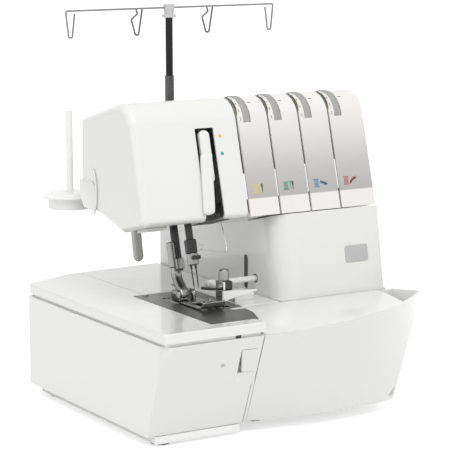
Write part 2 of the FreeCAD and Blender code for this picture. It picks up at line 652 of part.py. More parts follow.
foot_room = [span(("needle_x - 5.5", "needle_x + 5.5"), (-72, -62), ("table_top - 5", "table_top + 20")),
             span(("needle_x + 3", "needle_x + 30"), (-82, -56), ("table_top - 5", "table_top + 20"))]
node("presser_foot", cut(fuse(sole, foot_pin, *ears), *foot_room))

# lever that lifts the presser foot, at the back of the head
lifter_points = [(85, 44), (95, 44), (103, -18), (98, -25), (91, -22)]
lifter = fuse(side(lifter_points, "needle_x - 24", "needle_x - 12"),
              rod(("needle_x - 24", 90, 38), "x", 3, 36))
node("presser_lifter", tilted(lifter))

# knives beside the foot
node("lower_knife", span(("knife_x + 0.5", "knife_x + 2.5"), (-74, -60), ("table_top - 20", "table_top")))
knife_pivot = ("knife_x + run_gap", "knife_shaft_y", "knife_shaft_z")
knife_arm = fuse(span(("knife_x + run_gap", "knife_x + 12"), (-77, -61),
                      ("knife_shaft_z - 4", "knife_shaft_z + 8")),
                 span(("knife_x + run_gap", "knife_x + 9"), (-62, "knife_shaft_y"),
                      ("knife_shaft_z - 6", "knife_shaft_z + 6")),
                 rod(knife_pivot, "x", 7, 10), rod(knife_pivot, "x", "knife_shaft_r", "16 - knife_x"))
node("upper_knife_arm", cut(knife_arm, rod(("knife_x + 5", -66, "knife_shaft_z - 10"), "z", 2, 30)))
node("upper_knife", span(("knife_x - 1.7", "knife_x + run_gap"), (-77, -63),
                         ("table_top + 2.5", "knife_shaft_z + 8")))
knob_profile = [(0, -8), (2, -8), (2, 0), (5, 0), (5, 9), (4, 10), (0, 10)]
node("knife_knob", turned(knob_profile, ("knife_x + 5", -66, "knife_shaft_z + 8")))

guard_points = [("plate_right + 1", -68), (-12, -62), (-10, -40), ("plate_right + 4", -34)]
node("chip_guard", soften(plan(guard_points, "table_top", "table_top + 7"), 2, z="table_top + 7"))

# feed dogs and loopers under the needle plate
feed_ribs = [span((f"needle_x + {line}", f"needle_x + {line} + 3"), (-58, -16),
                  ("feed_low + 4", "table_top - 0.2")) for line in FEED_LINES]
node("feed_dogs", fuse(span(("needle_x - 11", "needle_x + 10"), (-60, 4), ("feed_low", "feed_low + 7")),
                       *feed_ribs))
lower = fuse(rod(("needle_x", -73, 38), "y", 7, 4), rod(("needle_x", -70, 38), "y", 3.5, 27),
             span(("needle_x - 4", "needle_x + 4"), (-72.5, -69.5), (38, 90)),
             span(("needle_x - 8", "needle_x + 5"), (-72.5, -69.5), (86, 91)))
node("lower_looper", lower)
upper = fuse(rod(("needle_x + 16", -81, 52), "y", 6, 4), rod(("needle_x + 16", -78, 52), "y", 3.5, 35),
             span(("needle_x + 13", "needle_x + 19"), (-80.5, -77.5), (52, 92)),
             span(("needle_x + 3", "needle_x + 19"), (-80.5, -77.5), (89, 93)))
node("upper_looper", upper)

# drive: crank shaft, bearings, handwheel, pulleys, belt and motor
node("main_shaft", fuse(rod((-34, "shaft_y", "shaft_z"), "x", "shaft_r", "column_right + wheel_wide + 30"),
                        rod((-46, "shaft_y", "shaft_z"), "x", 12, 12),
                        rod((-56, "shaft_y", "shaft_z + 6"), "x", 4, 12),
                        rod((10, "shaft_y", "shaft_z"), "x", 11, 8)))
bearings = [ring((x, "shaft_y", "shaft_z"), "x", 9, "shaft_r + bore_gap", 7) for x in (-30, 84)]
node("shaft_bearings", group(*bearings))
wheel_profile = [
    ("shaft_r", 2), (14, 2), (14, 6), ("wheel_r - 7", 6), ("wheel_r - 5", 0.8), ("wheel_r - 1", 0.8),
    ("wheel_r", 3), ("wheel_r", "wheel_wide - 4"), ("wheel_r - 4", "wheel_wide"), ("shaft_r", "wheel_wide"),
]
node("handwheel", turned(wheel_profile, ("column_right", "shaft_y", "shaft_z"), "x"))
pulley_profile = [("shaft_r", 0), ("pulley_r + 3", 0), ("pulley_r + 3", 1.5), ("pulley_r", 1.5),
                  ("pulley_r", "belt_wide + 3"), ("pulley_r + 3", "belt_wide + 3"),
                  ("pulley_r + 3", "belt_wide + 4.5"), ("shaft_r", "belt_wide + 4.5")]
node("drive_pulley", turned(pulley_profile, ("belt_x - 2.2", "shaft_y", "shaft_z"), "x"))
pinion_profile = [(0, -26), (3, -26), (3, 0), ("pinion_r + 2", 0), ("pinion_r + 2", 1.5),
                  ("pinion_r", 1.5), ("pinion_r", "belt_wide + 3"), ("pinion_r + 2", "belt_wide + 3"),
                  ("pinion_r + 2", "belt_wide + 4.5"), (0, "belt_wide + 4.5")]
node("motor_pulley", turned(pinion_profile, ("belt_x - 2.2", "motor_y", "motor_z"), "x"))


def belt_loop(extra):
    """Plan of a belt round the two pulleys, as straight runs and two arcs."""
    big, small = size("pulley_r + run_gap") + extra, size("pinion_r + run_gap") + extra
    a = Vector(0, size("shaft_y"), size("shaft_z"))
    b = Vector(0, size("motor_y"), size("motor_z"))
    along = (b - a).normalize()
    up = Vector(1, 0, 0).cross(along)
    lean = math.asin((big - small) / (b - a).Length)
    high = along * math.sin(lean) + up * math.cos(lean)
    low = along * math.sin(lean) - up * math.cos(lean)
    spots = [a + high * big, b + high * small, b + low * small, a + low * big]
    return Part.Wire([
        Part.LineSegment(spots[0], spots[1]).toShape(),
        Part.Arc(spots[1], b + along * small, spots[2]).toShape(),
        Part.LineSegment(spots[2], spots[3]).toShape(),
        Part.Arc(spots[3], a - along * big, spots[0]).toShape(),
    ])


belt = doc.addObject("Part::Feature", "belt")
run = Vector(size("belt_wide"), 0, 0)
belt.Shape = Part.Face(belt_loop(size("belt_thick"))).extrude(run).cut(Part.Face(belt_loop(0)).extrude(run))
place(belt, ("belt_x", "0", "0"))
node("drive_belt", belt)
motor = cut(fuse(rod((2, "motor_y", "motor_z"), "x", "motor_r", 82),
                 rod((-6, "motor_y", "motor_z"), "x", 9, 9),
                 span((10, 74), ("motor_y - 20", "motor_y + 20"), ("plinth_top + 7", "motor_z - 20"))),
            rod((60, "motor_y", "motor_z"), "x", "3 + bore_gap", 40))
node("motor", motor)

# looper cover that slides to the right and folds down on its rod, with the waste bin hung on it
cover_points = [
    ("cover_y", "hinge_z - 2"), ("cover_y + 3", "hinge_z - 2"), ("cover_y + 3", 86),
    ("column_front - 1.6", "table_top - 3.4"), ("column_front - 1.6", "table_top"), ("cover_y", 88),
]
cap_points = [("cover_y", "hinge_z + 10"), ("cover_y + 3", "hinge_z + 10"), ("column_front - 1.6", 86),
              ("column_front - 1.6", "table_top"), ("cover_y", 88)]
knuckles = []
knuckle_bores = []
notches = []
for left in HINGE_BRACKETS:
    start = f"{left} + 8.6"
    knuckles.append(rod((start, "hinge_y", "hinge_z"), "x", 4, 12))
    knuckles.append(span((start, f"{start} + 12"), ("cover_y + 1", "hinge_y"),
                         ("hinge_z - 2", "hinge_z + 4")))
    knuckle_bores.append(rod((f"{start} - 1", "hinge_y", "hinge_z"), "x", "hinge_r + bore_gap", 14))
    notches.append(span((f"{left} - cover_slide - 1.5", f"{left} + 8.5"), ("cover_y - 2", "cover_y + 3.2"),
                        ("hinge_z - 5", "hinge_z + 7")))
notches.append(span(("cover_left - 1", "plate_right + 1.5"), ("cover_y - 1", "column_front"),
                    ("wall_top - 1", "table_top + 1")))
cover = cut(fuse(side(cover_points, "cover_left", "cover_right"),
                 side(cap_points, "cover_right - 3", "cover_right"), *knuckles), *knuckle_bores, *notches)
node("looper_cover", cover)
node("hinge_rod", rod(("cover_left + 12", "hinge_y", "hinge_z"), "x", "hinge_r",
                      "cover_right - cover_left - 30"))

front_high = "front_low - (bin_rim_right + 1 - plinth_top) * tan(front_lean)"
front_deep = "front_low - (bin_low - plinth_top) * tan(front_lean)"


def bin_loft(inset, z_low, label):
    """The bin's bowl between its floor outline and its rim outline."""
    body = doc.addObject("PartDesign::Body", label)
    low = [
        (f"front_seam + {inset}", f"cover_y - run_gap - {inset}"),
        (f"front_seam + {inset}", f"{front_deep} + {inset}", f"bin_low_r - {inset}"),
        (f"105 - {inset}", f"-125 + {inset}"), (f"114 - {inset}", f"cover_y - 3 - {inset} * 0.6"),
        (f"cover_right + 4 - {inset} * 0.3", f"cover_y - 1 - {inset}"),
        (f"cover_right + 1.4", f"cover_y - run_gap - {inset}"),
    ]
    high = [
        (f"front_seam + {inset}", f"cover_y - run_gap - {inset}"),
        (f"front_seam + {inset}", f"{front_high} + {inset}", f"bin_front_r - {inset}"),
        (f"bin_tip_x - 1.2 * {inset}", f"bin_tip_y + {inset} * 0.6"),
        (f"column_right + 5 - {inset}", f"column_front - 3 - {inset}"),
        (f"cover_right + 1.4 + {inset}", f"column_front - 3 - {inset}"),
        (f"cover_right + 1.4 + {inset}", f"cover_y - run_gap - {inset}"),
    ]
    profile = outline(body, "XY_Plane", low, z_low)
    upper_profile = outline(body, "XY_Plane", high, "bin_rim_right + 1")
    feature = body.newObject("PartDesign::AdditiveLoft", "bowl")
    feature.Profile = profile
    feature.Sections = [upper_profile]
    feature.Ruled = True
    return body


rim_slope = "(bin_rim_right - bin_rim_left) / (bin_tip_x - front_seam)"
rim_cut = prism("XZ_Plane", [("front_seam - 20", f"bin_rim_left - 20 * {rim_slope}"),
                             ("bin_tip_x + 20", f"bin_rim_right + 20 * {rim_slope}"),
                             ("bin_tip_x + 20", "bin_rim_right + 60"),
                             ("front_seam - 20", "bin_rim_right + 60")],
                "-table_back", "table_back - bin_tip_y + 80")
bowl = bin_loft("0", "bin_low", "bin_outer")
bin_room = bin_loft("bin_wall", "bin_low + bin_wall", "bin_inner")
node("waste_bin", cut(bowl, bin_room, rim_cut))

# spool stand on the deck behind the head, spool pins and the telescopic mast
pin_lines = [f"{k} * spool_pitch" for k in (-1.5, -0.5, 0.5, 1.5)]
stand_low = "deck_top"
stand_high = "deck_top + stand_thick"
stand = fuse(span(("-1.5 * spool_pitch - 6", "1.5 * spool_pitch + 6"), ("stand_y - 13", "stand_y + 13"),
                  (stand_low, stand_high)),
             span(("column_left + 4", "column_right - 8"), ("stand_y - 40", "stand_y + 30"),
                  (stand_low, f"{stand_low} + 5")),
             *(rod((x, "stand_y", stand_low), "z", 22, "stand_thick") for x in pin_lines))
pin_bores = [rod((x, "stand_y", "deck_top + 3"), "z", "spool_pin_r + 1", 40) for x in pin_lines]
node("spool_stand", cut(stand, rod(("mast_x", "stand_y", "deck_top + 3"), "z", "mast_r", 40), *pin_bores))
disc_top = f"{stand_high} + 5.4"
node("spool_pins", group(*(fuse(rod((x, "stand_y", "deck_top + 3"), "z", "spool_pin_r + 1",
                                    f"{disc_top} - deck_top - 3"),
                                rod((x, "stand_y", disc_top), "z", "spool_pin_r", "spool_pin_high"))
                           for x in pin_lines)))
disc_profile = [("spool_pin_r + 1", 0), ("spool_disc_r - 3", 0), ("spool_disc_r", 1.2), ("spool_disc_r", 2.6),
                ("spool_disc_r - 8", 3.4), ("spool_disc_r - 9", 5.4), ("spool_pin_r + 1", 5.4)]
node("spool_discs", group(*(turned(disc_profile, (x, "stand_y", stand_high)) for x in pin_lines)))
mast = cut(rod(("mast_x", "stand_y", "deck_top + 3"), "z", "mast_r", "mast_top - deck_top - 3"),
           rod(("mast_x", "stand_y", "deck_top + 6"), "z", "mast_inner_r + bore_gap",
               "mast_top - deck_top"))
node("mast_lower", mast)
node("mast_upper", rod(("mast_x", "stand_y", "mast_top - 66"), "z", "mast_inner_r",
                       "mast_reach - mast_top + 66"))
cap_profile = [(5.2, -10), (7, -9.4), (7, -7), (4.6, -6.4), (5.6, -1), (5.6, 3.4), (0, 3.4), (0, "-cap_seat"),
               ("mast_inner_r + bore_gap", "-cap_seat"), ("mast_inner_r + bore_gap", -10)]
cap = turned(cap_profile, ("mast_x", "stand_y", "bar_z"))
node("mast_cap", cut(cap, rod(("mast_x - 20", "stand_y", "bar_z"), "x", "wire_r", 40)))


def bar_path(points):
    """Points across and above the lowest point of the hooks, as places in the plane of the mast."""
    low = size("bar_z - hook_drop")
    return [Vector(x, size("stand_y"), low + z) for x, z in points]


outer, inner, drop = size("hook_outer"), size("hook_inner"), size("hook_drop")
left_end = [(-outer + 4.8, drop - 3), (-outer + 2, 0), (-outer - 2, 0), (-outer - 4.8, drop)]
right_end = [(-x, z) for x, z in reversed(left_end)]
node("thread_bar", wire_piece(bar_path(left_end + right_end), 1.6, size("wire_r")))
kinked = [(6, drop - 1.1), (1.7, 0), (-1.8, 0), (-6.2, drop - 10.5), (0.8, drop - 5), (-0.8, drop - 1.2)]
node("thread_hooks", group(*(wire_piece(bar_path([(mid + x, z) for x, z in kinked]), 1.5, size("wire_r"))
                             for mid in (-inner, inner))))

# controls and sockets on the right side
knob_face = [("0", -4), (3, -4), (3, 0.4), (15, 0.4), (15, 8), (13.5, 9.4), ("0", 9.4)]
node("stitch_length_dial", turned(knob_face, ("column_right", 100, 132), "x"))
node("differential_dial", turned(knob_face, ("column_right", 100, 96), "x"))
rocker_points = [("column_right - 5", 28.6), ("column_right + 0.8", 28.6), ("column_right + 2.6", 38),
                 ("column_right + 0.8", 47.4), ("column_right - 5", 47.4)]
rocker_pivot = rod(("column_right - 2", 130.6, 38), "y", 4, 10.8)
node("power_rocker", fuse(prism("XZ_Plane", rocker_points, "-141.4", 10.8), rocker_pivot))
inlet = cut(fuse(span(("column_right - 9.5", "column_right + 0.6"), (92, 118), (26, 46)),
                 span(("column_right", "column_right + 1.4"), (89, 121), (23, 49))),
            span(("column_right - 7.5", "column_right + 5"), (95.5, 114.5), (29.5, 42.5)))
inlet_pins = [rod(("column_right - 8.5", y, 36), "x", 1.6, 7) for y in (101, 109)]
node("power_inlet", fuse(inlet, *inlet_pins))
node("sewing_light", tilted(group(span(("needle_x - 46", "needle_x - 24"), (22, 40), (-2, 0)))))
screw_profile = [(0, -4), (1.4, -4), (1.4, 0), (2.8, 0), (2.8, 0.8), (2.2, 1.4), (0, 1.4)]
screws = [turned(screw_profile, (x, y, "table_top")) for x, y in screw_spots]
node("fixing_screws", group(*screws))

doc.recompute()
faults = [thing.Label for thing in doc.Objects if {"Invalid", "Error"} & set(thing.State)]
for thing in nodes:
    shape = thing.Shape
    if shape.isNull() or not shape.isValid() or not shape.Solids:
        faults.append(thing.Label)
if faults:
    raise SystemExit("not built: " + ", ".join(faults))

os.makedirs("parts", exist_ok=True)
for thing in nodes:
    thing.Shape.exportStep(f"parts/{thing.Label}.step")
    print(thing.Label, len(thing.Shape.Solids), round(thing.Shape.Volume / 1000, 2), "cm3")
whole = nodes[0].Shape.BoundBox
for thing in nodes:
    whole.add(thing.Shape.BoundBox)
print("box", whole)
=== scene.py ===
import json
import math

import bmesh
import bpy
import numpy as np
from mathutils import Matrix, Vector


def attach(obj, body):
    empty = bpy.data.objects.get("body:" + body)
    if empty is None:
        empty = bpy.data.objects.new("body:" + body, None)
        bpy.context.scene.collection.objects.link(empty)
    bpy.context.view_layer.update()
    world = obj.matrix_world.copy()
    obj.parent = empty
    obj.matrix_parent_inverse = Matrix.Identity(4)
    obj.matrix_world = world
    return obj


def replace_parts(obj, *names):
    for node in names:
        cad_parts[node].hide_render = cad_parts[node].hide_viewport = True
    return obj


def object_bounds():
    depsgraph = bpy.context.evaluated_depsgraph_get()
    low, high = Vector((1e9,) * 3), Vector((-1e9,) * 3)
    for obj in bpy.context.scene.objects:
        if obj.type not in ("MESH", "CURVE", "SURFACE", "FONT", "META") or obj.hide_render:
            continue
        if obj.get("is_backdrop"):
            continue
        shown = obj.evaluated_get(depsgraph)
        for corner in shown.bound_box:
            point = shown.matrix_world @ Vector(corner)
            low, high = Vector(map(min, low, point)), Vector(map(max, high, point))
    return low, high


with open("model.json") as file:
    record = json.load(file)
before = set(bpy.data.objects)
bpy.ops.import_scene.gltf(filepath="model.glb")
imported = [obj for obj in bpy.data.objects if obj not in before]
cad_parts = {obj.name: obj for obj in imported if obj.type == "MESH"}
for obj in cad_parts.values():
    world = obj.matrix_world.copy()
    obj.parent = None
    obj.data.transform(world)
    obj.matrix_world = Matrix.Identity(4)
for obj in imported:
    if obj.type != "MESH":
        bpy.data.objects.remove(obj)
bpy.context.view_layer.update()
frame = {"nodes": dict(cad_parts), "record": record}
nodes = frame["nodes"]
print("frame loaded:", len(nodes), "nodes")

# The drawing's own millimetres start at a point off the middle; drawn() leads from there to the part's frame.
drawing = {"middleX": -7.5, "middleY": -5.6, "headFront": -72.0, "headLow": 192.0, "headTilt": 15.0}
tilt = math.radians(drawing["headTilt"])


def drawn(x, y, z):  # millimetres of the drawing to metres of the frame
    x, y, z = np.broadcast_arrays(*(np.asarray(v, float) for v in (x, y, z)))
    return np.stack([x - drawing["middleX"], y - drawing["middleY"], z], -1) / 1000


def onHead(x, u, w):  # u is depth from the head's front, w is height, both along the leaning head
    u, w = np.asarray(u, float), np.asarray(w, float)
    y = drawing["headFront"] + u * math.cos(tilt) + w * math.sin(tilt)
    z = drawing["headLow"] - u * math.sin(tilt) + w * math.cos(tilt)
    return drawn(x, y, z)


# camera
cameraSettings = {
    "place": (-0.96522, -1.60763, 0.48472),
    "look": (0.50719, 0.84603, -0.16419),
    "up": (0.08771, 0.13885, 0.98638),
    "lens": 156.98, "sensor": 36.0, "near": 0.05, "far": 50.0,
}


def makeCamera(s):
    data = bpy.data.cameras.new("photoCamera")
    data.lens, data.sensor_width = s["lens"], s["sensor"]
    data.clip_start, data.clip_end = s["near"], s["far"]
    cam = bpy.data.objects.new("photoCamera", data)
    back = -Vector(s["look"]).normalized()
    right = Vector(s["up"]).cross(back).normalized()
    up = back.cross(right)
    turn = Matrix((right, up, back)).transposed().to_4x4()
    cam.matrix_world = Matrix.Translation(Vector(s["place"])) @ turn
    bpy.context.scene.collection.objects.link(cam)
    bpy.context.scene.camera = cam


makeCamera(cameraSettings)


# shader nodes
def addNode(tree, kind, values=None, **links):
    item = tree.nodes.new(kind)
    for name, value in (values or {}).items():
        if name in item.inputs:
            item.inputs[name].default_value = value
        else:
            setattr(item, name, value)
    for name, source in links.items():
        tree.links.new(source, item.inputs[name.replace("_", " ")])
    return item


def math2(tree, operation, a, b):
    item = tree.nodes.new("ShaderNodeMath")
    item.operation = operation
    for slot, value in zip(item.inputs, (a, b)):
        if isinstance(value, (int, float)):
            slot.default_value = value
        else:
            tree.links.new(value, slot)
    return item.outputs[0]


# skin groups shared by several finishes
def newSkin(name, extra):  # takes a tint, its drift, a gloss and one more value
    group = bpy.data.node_groups.new(name, "ShaderNodeTree")
    inputs = [("Tint", "NodeSocketColor", (0.8, 0.8, 0.8, 1)), ("Drift", "NodeSocketFloat", 0.03),
              ("Gloss", "NodeSocketFloat", 0.3), extra]
    for label, kind, value in inputs:
        group.interface.new_socket(label, in_out="INPUT", socket_type=kind).default_value = value
    for label, kind in (("Color", "NodeSocketColor"), ("Roughness", "NodeSocketFloat"),
                        ("Height", "NodeSocketFloat")):
        group.interface.new_socket(label, in_out="OUTPUT", socket_type=kind)
    return group, group.nodes.new("NodeGroupInput"), group.nodes.new("NodeGroupOutput")


# off times the drift shifts the tint's brightness, and dull is added to the gloss
def closeSkin(group, source, sink, off, dull, height):
    bright = math2(group, "ADD", 1.0, math2(group, "MULTIPLY", off, source.outputs["Drift"]))
    shade = addNode(group, "ShaderNodeHueSaturation", Color=source.outputs["Tint"], Value=bright)
    group.links.new(shade.outputs["Color"], sink.inputs["Color"])
    group.links.new(math2(group, "ADD", source.outputs["Gloss"], dull), sink.inputs["Roughness"])
    group.links.new(height, sink.inputs["Height"])
    return group


mouldedSettings = {"grain": 900.0, "slow": 9.0, "smear": 42.0, "smearTwist": 0.6, "smearDull": 0.12}


def mouldedGroup(s):  # slow tone drift, fine moulding grain and faint handling smears
    group, source, sink = newSkin("mouldedSkin", ("Grain", "NodeSocketFloat", s["grain"]))
    place = addNode(group, "ShaderNodeTexCoord").outputs["Object"]
    slow = addNode(group, "ShaderNodeTexNoise", {"Scale": s["slow"], "Detail": 3.0}, Vector=place)
    smear = addNode(group, "ShaderNodeTexNoise",
                    {"Scale": s["smear"], "Detail": 4.0, "Distortion": s["smearTwist"]}, Vector=place)
    fine = addNode(group, "ShaderNodeTexNoise", {"Detail": 2.0}, Vector=place, Scale=source.outputs["Grain"])
    off = math2(group, "SUBTRACT", slow.outputs["Fac"], 0.5)
    dull = math2(group, "MULTIPLY", math2(group, "SUBTRACT", smear.outputs["Fac"], 0.5), s["smearDull"])
    return closeSkin(group, source, sink, off, dull, fine.outputs["Fac"])


brushedSettings = {"way": (60, 1400, 1400), "blotch": 55.0, "lineShare": 0.6, "blotchShare": 0.4,
                   "dull": 0.25}


def brushedGroup(s):  # long fine scratches along one way, from noise squeezed across it
    group, source, sink = newSkin("brushedSkin", ("Way", "NodeSocketVector", s["way"]))
    place = addNode(group, "ShaderNodeTexCoord").outputs["Object"]
    squeezed = addNode(group, "ShaderNodeVectorMath", {"operation": "MULTIPLY"})
    group.links.new(place, squeezed.inputs[0])
    group.links.new(source.outputs["Way"], squeezed.inputs[1])
    lines = addNode(group, "ShaderNodeTexNoise", {"Scale": 1.0, "Detail": 3.0}, Vector=squeezed.outputs[0])
    blotch = addNode(group, "ShaderNodeTexNoise", {"Scale": s["blotch"], "Detail": 3.0}, Vector=place)
    mixed = math2(group, "ADD", math2(group, "MULTIPLY", lines.outputs["Fac"], s["lineShare"]),
                  math2(group, "MULTIPLY", blotch.outputs["Fac"], s["blotchShare"]))
    off = math2(group, "SUBTRACT", mixed, 0.5)
    dull = math2(group, "MULTIPLY", off, s["dull"])
    return closeSkin(group, source, sink, off, dull, lines.outputs["Fac"])


mouldedSkin = mouldedGroup(mouldedSettings)
brushedSkin = brushedGroup(brushedSettings)

panelRamp = {  # tones of the tension panels by height along the leaning head, in metres
    "low": 0.0, "high": 0.120, "warmth": (1.0, 0.985, 0.965),
    "stops": [(0.0, 0.76), (0.135, 0.76), (0.140, 0.41), (0.35, 0.49), (0.55, 0.62), (0.72, 0.72),
              (1.0, 0.76)],
}


def panelColour(tree):  # height along the head picks the tone from a ramp
    upHead = (0, math.sin(tilt), math.cos(tilt))
    along = addNode(tree, "ShaderNodeVectorMath", {"operation": "DOT_PRODUCT"})
    tree.links.new(addNode(tree, "ShaderNodeTexCoord").outputs["Object"], along.inputs[0])
    along.inputs[1].default_value = upHead
    zero = float(onHead(0, 0, 0) @ np.array(upHead))
    span = addNode(tree, "ShaderNodeMapRange",
                   {"From Min": zero + panelRamp["low"], "From Max": zero + panelRamp["high"]},
                   Value=along.outputs["Value"])
    ramp = tree.nodes.new("ShaderNodeValToRGB")
    steps = ramp.color_ramp.elements
    for k, (spot, tone) in enumerate(panelRamp["stops"]):
        step = steps[k] if k < 2 else steps.new(spot)
        step.position, step.color = spot, (*(tone * share for share in panelRamp["warmth"]), 1)
    tree.links.new(span.outputs["Result"], ramp.inputs["Fac"])
    return ramp.outputs["Color"]


mouldedFinishes = {  # tint, gloss, drift, bump, grain
    "whiteShell": ((0.735, 0.735, 0.722), 0.24, 0.03, 0.02, 1100.0),
    "whiteTrim": ((0.86, 0.86, 0.85), 0.34, 0.04, 0.03, 900.0),
    "tensionPanel": ((0.6, 0.6, 0.58), 0.30, 0.03, 0.02, 1500.0),
    "dialWhite": ((0.74, 0.74, 0.72), 0.35, 0.03, 0.03, 1500.0),
    "dialGrey": ((0.33, 0.33, 0.325), 0.42, 0.06, 0.05, 1500.0),
    "greyPlastic": ((0.20, 0.20, 0.205), 0.42, 0.08, 0.08, 700.0),
    "blackPlastic": ((0.02, 0.02, 0.02), 0.40, 0.2, 0.08, 700.0),
    "softRubber": ((0.025, 0.025, 0.025), 0.78, 0.3, 0.3, 420.0),
    "motorPaint": ((0.05, 0.05, 0.055), 0.45, 0.15, 0.15, 500.0),
    "badgeGrey": ((0.46, 0.46, 0.46), 0.38, 0.05, 0.03, 1500.0),
    "capGrey": ((0.55, 0.55, 0.55), 0.38, 0.06, 0.05, 900.0),
    "lifterGrey": ((0.50, 0.50, 0.49), 0.36, 0.05, 0.04, 900.0),
    # dark for print, and for the sheets of painted shade in gaps, slots, hollows and recesses
    "inkDark": ((0.05, 0.05, 0.05), 0.55, 0.1, 0.02, 900.0),
    "inkGrey": ((0.22, 0.22, 0.22), 0.55, 0.1, 0.02, 900.0),
    "markYellow": ((0.62, 0.52, 0.12), 0.45, 0.06, 0.02, 900.0),
    "markGreen": ((0.07, 0.24, 0.18), 0.45, 0.06, 0.02, 900.0),
    "markTeal": ((0.01, 0.36, 0.30), 0.45, 0.06, 0.02, 900.0),
    "markBlue": ((0.06, 0.20, 0.36), 0.45, 0.06, 0.02, 900.0),
    "markRed": ((0.42, 0.10, 0.07), 0.45, 0.06, 0.02, 900.0),
    "warmEdge": ((0.62, 0.46, 0.26), 0.45, 0.08, 0.02, 900.0),
    "lampLens": ((0.85, 0.85, 0.82), 0.30, 0.03, 0.05, 900.0),
}
brushedFinishes = {  # tint, gloss, drift, bump, way of the scratches, metal
    "castMetal": ((0.42, 0.42, 0.42), 0.48, 0.25, 0.25, (260, 260, 260), 0.9),
    "brightSteel": ((0.58, 0.58, 0.57), 0.16, 0.15, 0.03, (900, 900, 60), 1.0),
    "barSteel": ((0.045, 0.045, 0.045), 0.20, 0.3, 0.03, (900, 900, 60), 0.7),
    "plateSteel": ((0.17, 0.17, 0.165), 0.34, 0.22, 0.05, (60, 1400, 900), 0.85),
    "wornSteel": ((0.30, 0.30, 0.295), 0.28, 0.28, 0.06, (900, 120, 900), 0.95),
    "mastSteel": ((0.10, 0.10, 0.10), 0.14, 0.3, 0.02, (1200, 1200, 40), 0.9),
    "darkTube": ((0.012, 0.012, 0.013), 0.16, 0.3, 0.02, (1200, 1200, 40), 0.6),
    "threadWire": ((0.13, 0.13, 0.128), 0.30, 0.25, 0.04, (60, 900, 900), 0.8),
    "barWire": ((0.24, 0.24, 0.238), 0.30, 0.25, 0.04, (60, 900, 900), 0.8),
    "footSteel": ((0.30, 0.30, 0.295), 0.20, 0.3, 0.05, (900, 60, 900), 1.0),
}
shaderExtras = {"whiteShell": {"Coat Weight": 0.8, "Coat Roughness": 0.05},
                "lampLens": {"Transmission Weight": 0.35}}
bumpDepth = 0.0002
finishes = {}


def finish(name, group, tint, gloss, drift, bump, extra, constants):  # a skin group that feeds one shader
    mat = bpy.data.materials.new(name)
    mat.use_nodes = True
    tree = mat.node_tree
    shader = tree.nodes["Principled BSDF"]
    for label, value in constants.items():
        shader.inputs[label].default_value = value
    skin = tree.nodes.new("ShaderNodeGroup")
    skin.node_tree = group
    for label, value in {"Tint": (*tint, 1), "Gloss": gloss, "Drift": drift, **extra}.items():
        skin.inputs[label].default_value = value
    if name == "tensionPanel":
        tree.links.new(panelColour(tree), skin.inputs["Tint"])
    relief = addNode(tree, "ShaderNodeBump", {"Strength": bump, "Distance": bumpDepth},
                     Height=skin.outputs["Height"])
    tree.links.new(skin.outputs["Color"], shader.inputs["Base Color"])
    tree.links.new(skin.outputs["Roughness"], shader.inputs["Roughness"])
    tree.links.new(relief.outputs["Normal"], shader.inputs["Normal"])
    finishes[name] = mat


for name, (*look, grain) in mouldedFinishes.items():
    finish(name, mouldedSkin, *look, {"Grain": grain}, shaderExtras.get(name, {}))
for name, (*look, way, metal) in brushedFinishes.items():
    finish(name, brushedSkin, *look, {"Way": way}, {"Metallic": metal})
print("finishes:", len(finishes))

# finishes and soft edges of the CAD nodes
slotFinish = {
    "white_shell": "whiteShell", "white_trim": "whiteTrim", "tension_panel": "tensionPanel",
    "tension_dial": "dialWhite", "cast_metal": "castMetal", "bright_steel": "brightSteel",
    "worn_steel": "wornSteel", "dark_tube": "darkTube", "thread_wire": "threadWire",
    "grey_plastic": "greyPlastic", "black_plastic": "blackPlastic", "rubber": "softRubber",
    "motor_case": "motorPaint", "lamp": "lampLens",
}
nodeFinish = {  # nodes that differ from the rest of their slot
    "needle_plate": "plateSteel", "needle_bar": "barSteel", "presser_bar": "barSteel", "needles": "barSteel",
    "clamp_screws": "barSteel", "upper_knife": "brightSteel", "knife_knob": "wornSteel",
    "mast_lower": "mastSteel", "mast_cap": "capGrey", "thread_bar": "barWire",
}
edgeRound = {  # millimetres; a node that isn't named gets the last one
    "slide_on_table": 0.7, "bed_cover": 0.5, "column_cover": 0.8, "head_cover": 0.8, "arm_cover": 0.8,
    "waste_bin": 0.9, "looper_cover": 0.8, "chip_guard": 0.6, "spool_stand": 1.2, "spool_discs": 0.5,
    "handwheel": 0.6, "needle_plate": 0.25, "needles": 0, "thread_bar": 0, "thread_hooks": 0, "rest": 0.3,
}
edgeSettings = {"angle": 40.0, "steps": 2, "seam": 1e-6}


def softEdges(item, width):  # rounds the sharp edges by a width in millimetres and evens the shading
    if width:
        bevel = item.modifiers.new("softEdge", "BEVEL")
        bevel.width, bevel.segments = width / 1000, edgeSettings["steps"]
        bevel.limit_method, bevel.angle_limit = "ANGLE", math.radians(edgeSettings["angle"])
    item.modifiers.new("evenShade", "WEIGHTED_NORMAL").keep_sharp = False


def dressNode(name, item):
    used = next(p["material_slot"] for p in frame["record"]["subparts"] if p["node"] == name)
    item.data.materials.clear()
    item.data.materials.append(finishes[nodeFinish.get(name, slotFinish[used])])
    item.data.polygons.foreach_set("use_smooth", np.ones(len(item.data.polygons), bool))
    item.modifiers.new("joinSeams", "WELD").merge_threshold = edgeSettings["seam"]
    softEdges(item, edgeRound.get(name, edgeRound["rest"]))


for nodeName, nodeObject in nodes.items():
    dressNode(nodeName, nodeObject)
print("nodes dressed")


# surfaces worked out on grids
def gridFaces(rows, columns, closeRows=False, closeColumns=False):  # quads between neighbours of a grid
    r = np.arange(rows if closeRows else rows - 1)
    c = np.arange(columns if closeColumns else columns - 1)
    r, c = (v.ravel() for v in np.meshgrid(r, c, indexing="ij"))
    r2, c2 = (r + 1) % rows, (c + 1) % columns
    return np.stack([r * columns + c, r * columns + c2, r2 * columns + c2, r2 * columns + c], -1)


